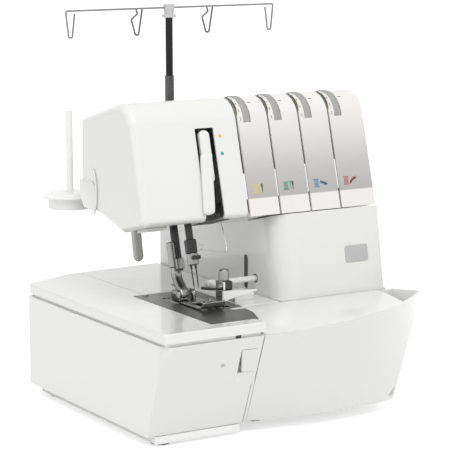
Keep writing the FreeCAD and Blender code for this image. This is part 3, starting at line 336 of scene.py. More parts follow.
def turnOut(mesh):  # all closed shells of a mesh face outwards
    work = bmesh.new()
    work.from_mesh(mesh)
    bmesh.ops.recalc_face_normals(work, faces=work.faces)
    work.to_mesh(mesh)
    work.free()


def newPiece(name, points, faces, body, mat, slot, smooth=True):
    mesh = bpy.data.meshes.new(name)
    mesh.from_pydata(np.asarray(points).reshape(-1, 3).tolist(), [], [list(map(int, f)) for f in faces])
    mesh.validate()
    item = bpy.data.objects.new(name, mesh)
    bpy.context.scene.collection.objects.link(item)
    mesh.materials.append(finishes[mat])
    mesh.polygons.foreach_set("use_smooth", np.full(len(mesh.polygons), smooth))
    turnOut(mesh)
    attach(item, body)
    return item


def joined(parts):  # several (points, faces) as one
    points, faces, start = [], [], 0
    for p, f in parts:
        p = np.asarray(p).reshape(-1, 3)
        points.append(p)
        faces += [[int(i) + start for i in row] for row in f]
        start += len(p)
    return np.concatenate(points), faces


def loopSweep(rings):  # a closed profile carried along a path, one ring for each step; both ends capped
    rows, columns = rings.shape[:2]
    faces = gridFaces(rows, columns, closeColumns=True).tolist()
    faces.append(list(range(columns))[::-1])
    faces.append([(rows - 1) * columns + k for k in range(columns)])
    return rings, faces


def circle(radius, steps):  # points round a circle
    a = np.linspace(0, 2 * np.pi, steps, endpoint=False)
    return radius * np.stack([np.cos(a), np.sin(a)], -1)


tubeSkew = [0.31, 0.17, 0.93]  # a way that no path here follows


def tube(path, radius, sides):  # a circle carried square to a path of points
    way = np.gradient(path, axis=0)
    way /= np.linalg.norm(way, axis=1, keepdims=True)
    side = np.cross(way, tubeSkew)
    side /= np.linalg.norm(side, axis=1, keepdims=True)
    other = np.cross(way, side)
    across, up = circle(radius, sides).T[..., None]
    return loopSweep(path[:, None] + across * side[:, None] + up * other[:, None])


def eased(line, passes):  # each inner point moves half way to the middle of its neighbours
    for _ in range(passes):
        line[1:-1] = (line[:-2] + 2 * line[1:-1] + line[2:]) / 4
    return line


def smoothPath(points, count, passes=6):  # points joined by straight runs with eased corners
    reach = np.r_[0, np.cumsum(np.linalg.norm(np.diff(points, axis=0), axis=1))]
    t = np.linspace(0, reach[-1], count)
    return eased(np.stack([np.interp(t, reach, points[:, k]) for k in range(3)], -1), passes)


def rod(place, start, end, radius, sides, count=4):  # a straight round bar, its radius in millimetres
    return tube(np.linspace(place(*start), place(*end), count), radius / 1000, sides)


def wire(place, points, radius, sides, count):  # a bent round wire, its radius in millimetres
    return tube(smoothPath(place(*np.array(points, float).T), count), radius / 1000, sides)


def roundedOutline(width, height, radius, steps=6):  # rectangle with round corners, centred, as x and y
    a = np.linspace(0, np.pi / 2, steps)
    corners = []
    for quarter, (sx, sy) in enumerate(((1, 1), (-1, 1), (-1, -1), (1, -1))):
        b = a + quarter * np.pi / 2
        corners.append(np.stack([sx * (width / 2 - radius) + radius * np.cos(b),
                                 sy * (height / 2 - radius) + radius * np.sin(b)], -1))
    return np.concatenate(corners)


# shares of the outline and of the height
plateRings = [(1.0, -0.15), (1.0, 0.65), (0.985, 0.895), (0.95, 1.0), (0.0, 1.0)]


def plateOn(outline, place, thick=1.0):  # a plate with a rolled edge: rings from its foot to its top
    middle = outline.mean(0)
    share, high = np.array(plateRings).T[..., None]
    flat = middle + (outline - middle) * share[..., None]
    rows, columns = flat.shape[:2]
    faces = gridFaces(rows, columns, closeColumns=True).tolist()
    faces.append(list(range(columns))[::-1])
    return place(flat[..., 0], flat[..., 1], high * thick), faces


barShape = {"count": 36, "passes": 3, "corner": 0.35, "least": 0.02}


# a rounded rectangle carried along a line, closing in at both ends like a half circle
def barAlong(place, x, path, wide, thick, endRound, xEnd=None):
    s = barShape
    path = np.asarray(path, float)
    reach = np.r_[0, np.cumsum(np.hypot(*np.diff(path, axis=0).T))]
    t = reach[-1] * (1 - np.cos(np.linspace(0, np.pi, s["count"]))) / 2
    middle = eased(np.stack([np.interp(t, reach, path[:, k]) for k in (0, 1)], -1), s["passes"])
    way = np.gradient(middle, axis=0)
    way /= np.linalg.norm(way, axis=1, keepdims=True)
    off = np.stack([-way[:, 1], way[:, 0]], -1)
    near = np.clip(np.minimum(t, reach[-1] - t) / endRound, 0, 1)
    close = np.maximum(np.sqrt(1 - (1 - near) ** 2), s["least"])[:, None]
    outline = roundedOutline(wide, thick, s["corner"] * min(wide, thick))
    lean = np.linspace(0, (x if xEnd is None else xEnd) - x, s["count"])[:, None]
    shift = outline[None, :, 1] * close
    return loopSweep(place(x + lean + outline[None, :, 0] * close, middle[:, :1] + off[:, :1] * shift,
                           middle[:, 1:] + off[:, 1:] * shift))


# tension dials: ridged bands and figures
dialSettings = {
    "firstX": -23.0, "pitch": 34.2, "inset": 1.6, "depth": 25.0, "height": 92.0, "bandFrom": 6.0,
    "bandTo": 12.9, "radius": 25.6, "ridges": 90, "ridgeHigh": 0.22, "figures": 10, "figureX": 3.2,
    "figureRadius": 24.84, "figureSize": 3.8, "figureFirst": -38.0, "figureStep": 19.0,
}
ringSettings = {"lip": 0.3, "foot": -0.5, "rim": -0.02, "top": 0.05, "sharp": 0.7, "pointsPerRib": 6}
figureSettings = {"thick": 0.03, "steps": 3}


def panelLeft(i):  # left edge of one of the four panels
    return dialSettings["firstX"] + dialSettings["pitch"] * i


def dialPoint(x, radius, angle):  # angle from the head's front, turning up and back
    s = dialSettings
    return onHead(x, s["depth"] - radius * np.cos(angle), s["height"] + radius * np.sin(angle))


# ribs round a ring: its radius follows a cosine of the angle
def ribbedRing(point, x0, x1, radius, ribs, high):
    s = ringSettings
    a = np.linspace(0, 2 * np.pi, ribs * s["pointsPerRib"], endpoint=False)
    rib = high * (0.5 + 0.5 * np.cos(a * ribs)) ** s["sharp"]
    rows = [(x0, s["foot"], 0), (x0, s["rim"], 0), (x0 + s["lip"], s["top"], 1),
            (x1 - s["lip"], s["top"], 1), (x1, s["rim"], 0), (x1, s["foot"], 0)]
    rings = np.stack([point(x, radius + r + k * rib, a) for x, r, k in rows])
    return rings, gridFaces(len(rows), len(a), closeRows=True, closeColumns=True)


def figureMesh(text, size):  # flat outline of a figure, thickened
    curve = bpy.data.curves.new("figure", "FONT")
    curve.body, curve.size, curve.extrude = text, size, figureSettings["thick"]
    curve.align_x, curve.align_y, curve.resolution_u = "CENTER", "CENTER", figureSettings["steps"]
    holder = bpy.data.objects.new("figure", curve)
    mesh = bpy.data.meshes.new_from_object(holder)
    points = np.empty(len(mesh.vertices) * 3, np.float32)
    mesh.vertices.foreach_get("co", points)
    faces = [list(p.vertices) for p in mesh.polygons]
    bpy.data.objects.remove(holder)
    bpy.data.curves.remove(curve)
    bpy.data.meshes.remove(mesh)
    return points.reshape(-1, 3).astype(float), faces


def dialNumbers(left):  # each figure is bent round the dial's smooth half: its height becomes an angle
    s = dialSettings
    parts = []
    for k in range(s["figures"]):
        flat, faces = figureMesh(str(k), s["figureSize"])
        angle = math.radians(s["figureFirst"] + k * s["figureStep"]) + flat[:, 1] / s["figureRadius"]
        x = left + s["figureX"] + flat[:, 0]
        parts.append((dialPoint(x, s["figureRadius"] + flat[:, 2], angle), faces))
    return joined(parts)


for i in range(4):
    s, body = dialSettings, f"tension_dial_{i + 1}"
    left = panelLeft(i) + s["inset"]
    x0, x1 = left + s["bandFrom"], left + s["bandTo"]
    band = ribbedRing(dialPoint, x0, x1, s["radius"], s["ridges"], s["ridgeHigh"])
    newPiece(f"dialBand{i + 1}", *band, body, "dialGrey", "grey_plastic")
    newPiece(f"dialNumbers{i + 1}", *dialNumbers(left), body, "inkDark", "black_plastic", False)
print("dials done")

# marks on the tension panels and on the head
markSettings = {
    "lift": 0.08, "proud": 1.0, "height": 25.6, "spoolAt": 9.6, "spoolWide": 6.8, "spoolHigh": 8.0,
    "endAt": 0.45, "endThick": 0.8, "turns": 5, "turnsTo": 0.3, "turnWide": 0.72, "turnThick": 0.75,
    "round": 0.2, "roundSteps": 3, "signAt": 17.2, "tintedWide": 0.7,
}


# a flat place on the front of the panels, or of the head where proud is 0
def onFront(x0, w0, proud=markSettings["proud"]):
    return lambda a, b, c: onHead(x0 + a, -proud - markSettings["lift"] * c, w0 + b)


def spoolMark(x0, w0):  # a thread spool seen from the side: two end plates and five turns
    s = markSettings
    rows = [(b, s["spoolWide"], s["endThick"]) for b in (-s["endAt"], s["endAt"])]
    rows += [(b, s["spoolWide"] * s["turnWide"], s["turnThick"])
             for b in np.linspace(-s["turnsTo"], s["turnsTo"], s["turns"])]
    return joined([plateOn(roundedOutline(wide, thick, s["round"], s["roundSteps"]),
                           onFront(x0, w0 + b * s["spoolHigh"])) for b, wide, thick in rows])


def strokeMark(points, wide, x0, w0):  # a flat line of changing width through points
    points = np.asarray(points, float)
    way = np.gradient(points, axis=0)
    way /= np.linalg.norm(way, axis=1, keepdims=True)
    off = np.stack([-way[:, 1], way[:, 0]], -1) * np.asarray(wide, float)[:, None] / 2
    edge = np.concatenate([points + off, (points - off)[::-1]])
    return plateOn(edge, onFront(x0, w0))


needleLine = [(0, 4.2), (0, 2), (0, 0), (0, -2.2), (0, -4.4)]
needleWide = [1.9, 1.9, 1.1, 0.9, 0.2]
lowLooper = [(-3.4, 1.8), (-1.6, 1.0), (0.6, 0.2), (2.8, -0.8), (5.0, -1.6)]
highLooper = [(-3.2, -3.4), (-2.2, -1.4), (-0.4, 0.2), (2.0, 1.4), (5.0, 2.2)]
looperWide = [0.7, 1.3, 1.5, 1.7, 0.5]
signs = [  # tint, line, widths, and where the tinted sign lies beside the dark one
    ("markYellow", needleLine, needleWide, (-2.4, 0.4)), ("markGreen", needleLine, needleWide, (-2.4, 0.4)),
    ("markBlue", lowLooper, looperWide, (-0.4, -1.2)), ("markRed", highLooper, looperWide, (-0.4, 1.2)),
]
for i, (tint, line, wide, (across, up)) in enumerate(signs):
    s = markSettings
    x0, w0 = panelLeft(i) + s["signAt"], s["height"]
    spool = spoolMark(panelLeft(i) + s["spoolAt"], w0)
    tinted = strokeMark(line, np.array(wide) * s["tintedWide"], x0 + across, w0 + up)
    dark = strokeMark(line, wide, x0, w0)
    newPiece(f"spoolMark{i + 1}", *spool, "machine", tint, "tension_panel", False)
    newPiece(f"threadMark{i + 1}", *tinted, "machine", tint, "tension_panel", False)
    newPiece(f"darkMark{i + 1}", *dark, "machine", "inkDark", "tension_panel", False)

tickSettings = {"from": 17.6, "to": 20.8, "angle": 38.0, "half": 0.35, "turn": 25.1, "top": 25.68,
                "foot": 25.3}


def panelTick(left):  # a short line over the panel's round top, beside the dial
    s = tickSettings
    a = math.radians(s["angle"]) + s["half"] * np.array([-1, 1, 1, -1]) / s["turn"]
    x = left + np.array([s["from"], s["from"], s["to"], s["to"]])
    faces = [[0, 1, 2, 3], [7, 6, 5, 4]] + [[k, (k + 1) % 4, 4 + (k + 1) % 4, 4 + k] for k in range(4)]
    return np.concatenate([dialPoint(x, s["top"], a), dialPoint(x, s["foot"], a)]), faces


ticks = joined([panelTick(panelLeft(i)) for i in range(4)])
newPiece("panelTicks", *ticks, "machine", "inkDark", "tension_panel", False)

# painted shade at the left of the dials: dark crescent sheets for the gaps there, each with a warm edge along
# its right side
gapShadeSettings = {"from": 6.0, "to": 78.0, "start": 0.9, "wide": 2.0, "radius": 25.3, "lift": 0.12,
               "edgeTo": 46.0, "edgeWide": 0.7, "sharp": 0.7, "least": 0.02, "steps": 40}


# the width follows a half sine of the angle; beside is the width of what lies on its left
def crescent(left, wide, end, beside):
    s = gapShadeSettings
    a = np.linspace(*np.radians((s["from"], end)), s["steps"])
    reach = (a - a[0]) / (a[-1] - a[0])
    share = (end - s["from"]) / (s["to"] - s["from"])
    x0 = left + s["start"] + beside * np.sin(np.pi * reach * share) ** s["sharp"]
    x1 = x0 + wide * np.sin(np.pi * reach) ** s["sharp"] + s["least"]
    foot, top = s["radius"], s["radius"] + s["lift"]
    rows = [(x0, foot), (x0, top), (x1, top), (x1, foot)]
    return loopSweep(np.stack([dialPoint(x, r, a) for x, r in rows], 1))


for i in range(4):
    s, left = gapShadeSettings, panelLeft(i)
    gapShade, edge = crescent(left, s["wide"], s["to"], 0.0), crescent(left, s["edgeWide"], s["edgeTo"], s["wide"])
    # a dark crescent sheet of painted shade laid over the dial
    newPiece(f"dialGapShade{i + 1}", *gapShade, "machine", "inkDark", "black_plastic")
    newPiece(f"gapEdge{i + 1}", *edge, "machine", "warmEdge", "tension_panel")

dotSettings = {"radius": 1.7, "steps": 28,
               "spots": [("yellowDot", "markYellow", -43.0, 77.6), ("tealDot", "markTeal", -43.0, 61.2)]}
for name, tint, x0, w0 in dotSettings["spots"]:
    dot = plateOn(circle(dotSettings["radius"], dotSettings["steps"]), onFront(x0, w0, 0))
    newPiece(name, *dot, "machine", tint, "tension_panel")
print("marks done")

# bare plate on the column's front, which leans back
plateSettings = {"x": 92.0, "z": 148.0, "outline": (26.0, 16.0, 2.2), "thick": 0.7, "lean": 9.0,
                 "columnFront": -86.0, "columnFoot": 112.0}


def onColumn(a, b, c):  # a runs across, b up the leaning front and c out of it
    s = plateSettings
    lean = math.radians(s["lean"])
    z = s["z"] + b * math.cos(lean) + c * math.sin(lean)
    y = s["columnFront"] + (s["z"] - s["columnFoot"]) * math.tan(lean)
    return drawn(s["x"] + a, y + b * math.sin(lean) - c * math.cos(lean), z)


barePlate = plateOn(roundedOutline(*plateSettings["outline"]), onColumn, plateSettings["thick"])
newPiece("barePlate", *barePlate, "machine", "badgeGrey", "white_trim")
print("plate done")

# take-up lever: a round-ended bar in the slot, with a fixed guard that leans over its lower half
leverSettings = {"x": -59.4, "xEnd": -60.2, "path": [(2.0, 84.5), (1.6, 60), (1.6, 34)], "wide": 11.2,
                 "thick": 6.0, "endRound": 5.0}
lever = barAlong(onHead, **leverSettings)
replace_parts(newPiece("takeUpCover", *lever, "take_up_lever", "whiteShell", "white_shell"), "take_up_lever")
leverGuardSettings = {"x": -60.7, "xEnd": -68.0, "path": [(-2.2, 63.0), (-2.3, 40), (-2.2, 5.0)],
                      "wide": 11.9, "thick": 4.0, "endRound": 3.0}
newPiece("leverGuard", *barAlong(onHead, **leverGuardSettings), "machine", "whiteShell", "white_shell")

# presser lifter: a round-ended bar on a cross pin behind the head
lifterSettings = {
    "bar": {"x": -93.0, "path": [(90, 46), (92, 28), (95, 6), (97, -10), (97.5, -25)], "wide": 9.5,
            "thick": 7.0, "endRound": 5.0},
    "pin": {"start": (-98.5, 90, 38), "end": (-63.0, 90, 38), "radius": 3.0, "sides": 20, "count": 6},
}
lifter = joined([barAlong(onHead, **lifterSettings["bar"]), rod(onHead, **lifterSettings["pin"])])
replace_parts(newPiece("lifterBar", *lifter, "presser_lifter", "lifterGrey", "grey_plastic"), "presser_lifter")

# needle clamp: a paler block that holds the needles, a dark collar on the bar and a small wire loop
clampSettings = {
    "block": {"x": -75.0, "path": [(25.4, -38), (25.4, -26)], "wide": 9.6, "thick": 10.4, "endRound": 1.2},
    "collar": {"x": -75.0, "path": [(26, -27), (26, -13)], "wide": 10.6, "thick": 9.6, "endRound": 1.2},
    "guide": {"points": [(-70, 20, -20), (-66, 20, -20), (-64, 20, -22), (-66, 20, -24), (-70, 20, -24)],
              "radius": 0.4, "sides": 8, "count": 30},
}
s = clampSettings
block = barAlong(onHead, **s["block"])
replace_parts(newPiece("clampBlock", *block, "needle_drive", "wornSteel", "worn_steel"), "needle_clamp")
newPiece("clampCollar", *barAlong(onHead, **s["collar"]), "needle_drive", "barSteel", "worn_steel")
newPiece("needleGuide", *wire(onHead, **s["guide"]), "needle_drive", "brightSteel", "bright_steel")

# presser foot: ankle and the bracket beside the bar
ankleSettings = {"x": -75.0, "path": [(-26, 151), (-24, 142), (-24, 134), (-30, 127), (-37, 121), (-40, 115)],
                 "wide": 9.6, "thick": 6.8, "endRound": 2.0}
ankle = barAlong(drawn, **ankleSettings)
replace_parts(newPiece("ankleStrap", *ankle, "presser", "footSteel", "worn_steel"), "foot_ankle")
bracketSettings = [
    {"x": -81.6, "path": [(53, -37), (53, -12)], "wide": 5.0, "thick": 9.0, "endRound": 1.0},
    {"x": -77, "path": [(47.5, -39), (47.5, -28)], "wide": 9.0, "thick": 3.0, "endRound": 1.0},
]
bracket = joined([barAlong(onHead, **bar) for bar in bracketSettings])
newPiece("barBracket", *bracket, "presser", "wornSteel", "worn_steel")

soleSettings = {
    "runner": [(-88, 120), (-86.5, 115.6), (-81, 112.8), (-40, 112.5), (-38, 112.5)],
    "runners": [(-80.8, 4.2, 2.2, 1.0), (-61.2, 4.4, 2.2, 1.0)],  # x, wide, thick, endRound
    "bars": [  # x, path, wide, thick, endRound
        (-70.6, [(-87.5, 119.6), (-85.5, 115), (-80, 112.7)], 23.4, 1.8, 1.0),  # raised toe
        (-70.6, [(-58, 112.7), (-38, 112.7)], 22.4, 2.6, 1.2),  # heel
        (-69.2, [(-80, 113.1), (-56, 113.1)], 3.0, 1.8, 0.8),  # finger between the runners
        (-75.0, [(-33, 119), (-26, 124), (-19, 125)], 6.5, 1.6, 0.8),  # release lever
        (-60.2, [(-84, 115.6), (-74, 115.2), (-58, 115.0)], 3.0, 1.6, 0.8),  # side bar
    ],
    "stay": {"points": [(-66, -64, 114), (-60.2, -64, 115.0), (-60.2, -74, 115.4)], "radius": 1.2,
             "sides": 10, "count": 20},
    "pin": {"start": (-85.2, -38.5, 120), "end": (-64.8, -38.5, 120), "radius": 1.8, "sides": 18},
    "ears": (-84.2, -67.8), "earY": -38.5, "earZ": 117.8, "earOutline": (15, 11, 4.5), "earThick": 2.0,
}


def footSole(s):  # bars for the runners and cross pieces, round plates for the ears, a pin through them
    parts = [plateOn(roundedOutline(*s["earOutline"]),
                     lambda a, b, c: drawn(x0 + c, s["earY"] + a, s["earZ"] + b), s["earThick"])
             for x0 in s["ears"]]
    parts += [barAlong(drawn, x, s["runner"], *size) for x, *size in s["runners"]]
    parts += [barAlong(drawn, *bar) for bar in s["bars"]]
    return joined(parts + [rod(drawn, **s["pin"]), wire(drawn, **s["stay"])])


foot = footSole(soleSettings)
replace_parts(newPiece("footSole", *foot, "presser", "footSteel", "worn_steel"), "presser_foot")

# knife holder: block under the knob, arm back to the pivot, slim shaft into the column and a dark finger
knifeSettings = {
    "holder": {"x": -47.6, "path": [(-69, 124.5), (-69, 134.2)], "wide": 9.6, "thick": 13.0, "endRound": 1.2},
    "arm": {"x": -48.4, "path": [(-64, 127), (-38, 126)], "wide": 4.0, "thick": 4.6, "endRound": 1.5},
    "pivot": {"start": (-50.6, -40, 126), "end": (-42.6, -40, 126), "radius": 3.6, "sides": 28},
    "shaft": {"start": (-43, -40, 126), "end": (15, -40, 126), "radius": 2.8, "sides": 20},
    "finger": {"points": [(-52, -73, 127.4), (-60, -76.5, 128.2), (-67, -78, 129), (-78.8, -78, 131.4)],
               "radius": 1.3, "sides": 10, "count": 20},
}
s = knifeSettings
holder = barAlong(drawn, **s["holder"])
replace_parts(newPiece("knifeHolder", *holder, "upper_knife", "barSteel", "grey_plastic"), "upper_knife_arm")
arm = joined([barAlong(drawn, **s["arm"]), rod(drawn, **s["pivot"])])
newPiece("knifeArm", *arm, "upper_knife", "whiteTrim", "grey_plastic")
newPiece("knifeShaft", *rod(drawn, **s["shaft"]), "upper_knife", "whiteTrim", "grey_plastic")
newPiece("knifeFinger", *wire(drawn, **s["finger"]), "upper_knife", "barSteel", "worn_steel")

# long front edge of the chip guard and the thread's wire guide beside it
bladeSettings = {"y": -80.5, "left": -57.4, "right": -20.9, "lowLeft": 116.0, "highLeft": 126.5, "tip": 124.7,
                 "tipHigh": 1.2, "curve": 0.7, "thick": 2.2, "thinning": 0.6, "steps": 24}


def guardBlade(s):  # a flat bar that tapers to its right end; its foot rises as a power of the way along
    t = np.linspace(0, 1, s["steps"])
    x = s["left"] + (s["right"] - s["left"]) * t
    top = s["highLeft"] + (s["tip"] - s["highLeft"]) * t
    foot = s["lowLeft"] + (s["tip"] - s["tipHigh"] - s["lowLeft"]) * t ** s["curve"]
    half = s["thick"] / 2 * (1 - s["thinning"] * t)
    rows = [(-half, foot), (half, foot), (half, top), (-half, top)]
    return loopSweep(np.stack([drawn(x, s["y"] + d, z) for d, z in rows], 1))


newPiece("guardBlade", *guardBlade(bladeSettings), "machine", "whiteTrim", "white_trim", False)
guideSettings = {"points": [(-38, 30, 8), (-38, 24, -20), (-40, 22, -30), (-69, 21, -24)], "radius": 0.4,
                 "sides": 8, "count": 60}
newPiece("threadGuideWire", *wire(onHead, **guideSettings), "machine", "brightSteel", "bright_steel")
print("needle area done")

# pale fillers that show through the middle of the thread slots
fillSettings = {"ends": [(16, 41), (17, 43), (18, 45), (19, 47)], "deep": 0.2, "wide": 1.6, "thick": 1.2,
                "endRound": 0.5}
for i, (low, high) in enumerate(fillSettings["ends"]):
    s = fillSettings
    path = [(s["deep"], low), (s["deep"], high)]
    fill = barAlong(onHead, panelLeft(i), path, s["wide"], s["thick"], s["endRound"])
    newPiece(f"slotFill{i + 1}", *fill, "machine", "whiteTrim", "white_trim")

# skins of the tension panels: flat fronts that run over a round top, open beside each dial
skinSettings = {"proud": 1.0, "thick": 2.3, "windowLow": 88.4, "windowWide": 15.2, "slot": 1.0,
                "topDeep": 46.0, "topHigh": 117.0, "lastRight": 119.0, "arc": (4, 90), "arcSteps": 24}


# outer and inner line of a panel's side; over the top the radius shrinks to the head's own
def skinLines(flatOnly):
    s, d = skinSettings, dialSettings
    low, high = (0.0, s["windowLow"]) if flatOnly else (s["windowLow"], d["height"])
    a = np.radians(np.linspace(*s["arc"], s["arcSteps"]))
    lines = []
    for sunk in (0.0, s["thick"]):
        line = [(sunk - s["proud"], low), (sunk - s["proud"], high)]
        if not flatOnly:
            r = d["depth"] + s["proud"] * (1 - a / a[-1]) - sunk
            line += list(zip(d["depth"] - r * np.cos(a), d["height"] + r * np.sin(a)))
            line.append((s["topDeep"], s["topHigh"] - sunk))
        lines.append(np.array(line))
    return lines


def skinSweep(x0, x1, flatOnly):  # the strip between the outer and inner lines, carried across the panel
    outer, inner = skinLines(flatOnly)
    sides = ((x0, outer), (x1, outer), (x1, inner), (x0, inner))
    return loopSweep(np.stack([onHead(x, line[:, 0], line[:, 1]) for x, line in sides], 1))


skins = []
for i in range(4):
    s, left = skinSettings, panelLeft(i)
    right = left + dialSettings["pitch"] - s["slot"] if i < 3 else s["lastRight"]
    skins += [skinSweep(left + s["slot"], right, True), skinSweep(left + s["windowWide"], right, False)]
panelSkins = newPiece("panelSkins", *joined(skins), "machine", "tensionPanel", "tension_panel", False)
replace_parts(panelSkins, "tension_panels")

# rounded top of the bin, from the foot of the column out to its rim; it comes away with the bin
bulgeSettings = {
    "lowArc": ((-56.0, -118.8), (105.0, -125.0), 290.0),  # left end, right end, radius
    "highArc": ((-56.0, -158.35), (142.0, -119.0), 205.0),
    "lowZ": 12.0, "highZ": 113.5, "rimLeft": (-56.0, 98.2), "rimRight": (142.0, 112.5), "rimRounds": 6,
    "backFrom": -54.6, "backTo": 112.0, "backY": -87.9, "backZ": 111.2, "inset": 3.4, "under": 1.2,
    "thick": 2.0, "from": 0.012, "to": 0.80, "columns": 48, "rows": 24, "curve": 1.7, "edge": 0.3,
}


def arcPoint(ends, t):  # places along an arc that bulges to the front
    (ax, ay), (bx, by), r = ends
    half = np.array([bx - ax, by - ay]) / 2
    reach = np.hypot(*half)
    square = np.array([-half[1], half[0]]) / reach
    cx, cy = np.array([ax, ay]) + half + square * math.sqrt(r * r - reach * reach)
    a0, a1 = math.atan2(ay - cy, ax - cx), math.atan2(by - cy, bx - cx)
    a = a0 + (a1 - a0) * t
    return cx + r * np.cos(a), cy + r * np.sin(a)


def binFront(t, z):  # x and y on the bin's front: straight between its low and high arcs
    s = bulgeSettings
    (lx, ly), (hx, hy) = arcPoint(s["lowArc"], t), arcPoint(s["highArc"], t)
    f = (z - s["lowZ"]) / (s["highZ"] - s["lowZ"])
    return lx + f * (hx - lx), ly + f * (hy - ly)


def rimPoint(t):  # where the bin's front meets its sloping rim line, closed in on in a few rounds
    s = bulgeSettings
    (x0, z0), (x1, z1) = s["rimLeft"], s["rimRight"]
    x = arcPoint(s["highArc"], t)[0]
    for _ in range(s["rimRounds"]):
        z = z0 + (z1 - z0) / (x1 - x0) * (x - x0)
        x, y = binFront(t, z)
    return x, y, z


# straight in plan from the column's foot to the rim, falling as a power of the way out
def coverBulge(s):
    t = np.linspace(s["from"], s["to"], s["columns"])
    x, y, z = rimPoint(t)
    y, z = y + s["inset"], z - s["under"]
    out = np.linspace(0, 1, s["rows"])
    backX = np.linspace(s["backFrom"], s["backTo"], s["columns"])
    along = backX[:, None] + (x - backX)[:, None] * out
    deep = s["backY"] + (y[:, None] - s["backY"]) * out
    high = s["backZ"] - (s["backZ"] - z[:, None]) * out ** s["curve"]
    inner = drawn(along, deep, high - s["thick"])[:, ::-1]
    return loopSweep(np.concatenate([drawn(along, deep, high), inner], 1))


bulge = newPiece("coverFront", *coverBulge(bulgeSettings), "waste_bin", "whiteShell", "white_shell")
softEdges(bulge, bulgeSettings["edge"])

# strip that closes the seam below the table's right end, and painted shade of the latch slot in its groove, as
# a dark plate
seamSettings = {"x": -57.7, "path": [(-115.6, 10.6), (-132.0, 54.0)], "wide": 3.2, "thick": 6.0,
                "endRound": 0.8}
newPiece("seamStrip", *barAlong(drawn, **seamSettings), "slide_on_table", "whiteShell", "white_shell")
latchShadeSettings = {"x": -83.2, "y": -150.4, "z": 100.3, "outline": (5.4, 3.0, 0.8), "lift": 0.4}
s = latchShadeSettings
latchShade = plateOn(roundedOutline(*s["outline"]),
                lambda a, b, c: drawn(s["x"] + a, s["y"] - s["lift"] * c, s["z"] + b))
newPiece("latchSlotShade", *latchShade, "slide_on_table", "inkDark", "black_plastic")
print("skins and fronts done")

# painted shade of a slot in the column's inner wall: a dark plate on its surface
throatShadeSettings = {"x": 3.0, "y": -22.8, "z": 130.0, "outline": (6.6, 33.0, 3.2), "lift": 0.1}
s = throatShadeSettings
throatShade = plateOn(roundedOutline(*s["outline"]),
                 lambda a, b, c: drawn(s["x"] - s["lift"] * c, s["y"] + a, s["z"] + b))
newPiece("throatSlotShade", *throatShade, "machine", "inkDark", "black_plastic")
print("slots done")

# painted shade under the head and the arm, where the thread runs down: dark plates just below their undersides
hollowShadeSettings = {"spots": [(-54.0, 21.0, 24.0, 36.0), (27.0, 15.0, 62.0, 25.0)], "below": 0.25, "round": 3.0}
s = hollowShadeSettings
hollowShades = [plateOn(roundedOutline(wide, deep, s["round"]),
                   lambda a, b, c: onHead(x0 + a, u0 + b, -s["below"] * c))
           for x0, u0, wide, deep in s["spots"]]
newPiece("headHollowShade", *joined(hollowShades), "machine", "inkDark", "black_plastic", False)

# curved thumb pad on the table's front, which leans by a fixed slope
padSettings = {"low": 63.8, "high": 86.2, "left": -77.2, "lean": 0.2, "wide": 16.2, "rightEnd": -58.6,
               "bulge": 1.5, "sunk": 0.7, "back": 3.0, "frontLow": -118.0, "frontFoot": 10.0,
               "frontLean": 21.3, "rows": 16, "columns": 20, "edge": 0.5}


def tableFront(z):  # y of the table's leaning front at a height
    s = padSettings
    return s["frontLow"] - (z - s["frontFoot"]) * math.tan(math.radians(s["frontLean"]))


def thumbPad(s):  # the front follows a parabola across; each ring is one height
    z = np.linspace(s["low"], s["high"], s["rows"])[:, None]
    left = s["left"] + (s["high"] - z) * s["lean"]
    right = np.minimum(left + s["wide"], s["rightEnd"])
    t = np.linspace(0, 1, s["columns"])[None]
    x = left + (right - left) * t
    front = tableFront(z) + s["sunk"] - s["bulge"] * (1 - (2 * t - 1) ** 2)
    back = tableFront(z) + s["back"]
    return loopSweep(np.concatenate([drawn(x, front, z), drawn(x, back, z)[:, ::-1]], 1))


pad = newPiece("thumbPad", *thumbPad(padSettings), "slide_on_table", "whiteShell", "white_shell")
softEdges(pad, padSettings["edge"])

# a small arrow beside the pad and a small wedge at the bin's lower corner
arrowSettings = {"x": -95.0, "z": 73.5, "lift": 0.1, "shape": [(-2.6, 0), (0.2, 2.2), (0.2, 0.7), (2.6, 0.7),
                                                              (2.6, -0.7), (0.2, -0.7), (0.2, -2.2)]}


def onTable(a, b, c):  # a runs across, b up and c out of the table's front
    s = arrowSettings
    return drawn(s["x"] + a, tableFront(s["z"] + b) - s["lift"] * c, s["z"] + b)


arrow = plateOn(np.array(arrowSettings["shape"]), onTable)
newPiece("tableArrow", *arrow, "slide_on_table", "badgeGrey", "white_trim", False)
wedgeSettings = {"t": 0.965, "z": 20.0, "reach": 165.0, "lift": 0.5,
                 "shape": [(2.6, 3.6), (-2.6, -3.0), (1.8, -3.4)]}


def onBin(a, b, c):  # a runs along the bin's front, b up and c out of it
    s = wedgeSettings
    x, y = binFront(s["t"] + a / s["reach"], s["z"] + b)
    return drawn(x, y - s["lift"] * c, s["z"] + b)


wedge = plateOn(np.array(wedgeSettings["shape"]), onBin)
newPiece("binWedge", *wedge, "waste_bin", "badgeGrey", "white_trim", False)

# thread cutter on the head's left side: a plate and a bent edge
cutterSettings = {
    "x": -135.3, "thick": 1.6,
    "plate": [(53, 221), (27, 222.5), (20, 216), (19.5, 199), (24, 193.5), (44, 196), (52, 206)],
    "edge": [(25, 234), (20, 227), (18, 215), (19, 200), (23, 192)], "edgeX": -136.5, "edgeRadius": 1.0,
}
s = cutterSettings
cutterPlate = plateOn(np.array(s["plate"]), lambda a, b, c: drawn(s["x"] - c, a, b), s["thick"])
cutterEdge = wire(drawn, [(s["edgeX"], *spot) for spot in s["edge"]], s["edgeRadius"], sides=10, count=40)
newPiece("threadCutter", *joined([cutterPlate, cutterEdge]), "machine", "whiteShell", "white_shell")
print("small pieces done")

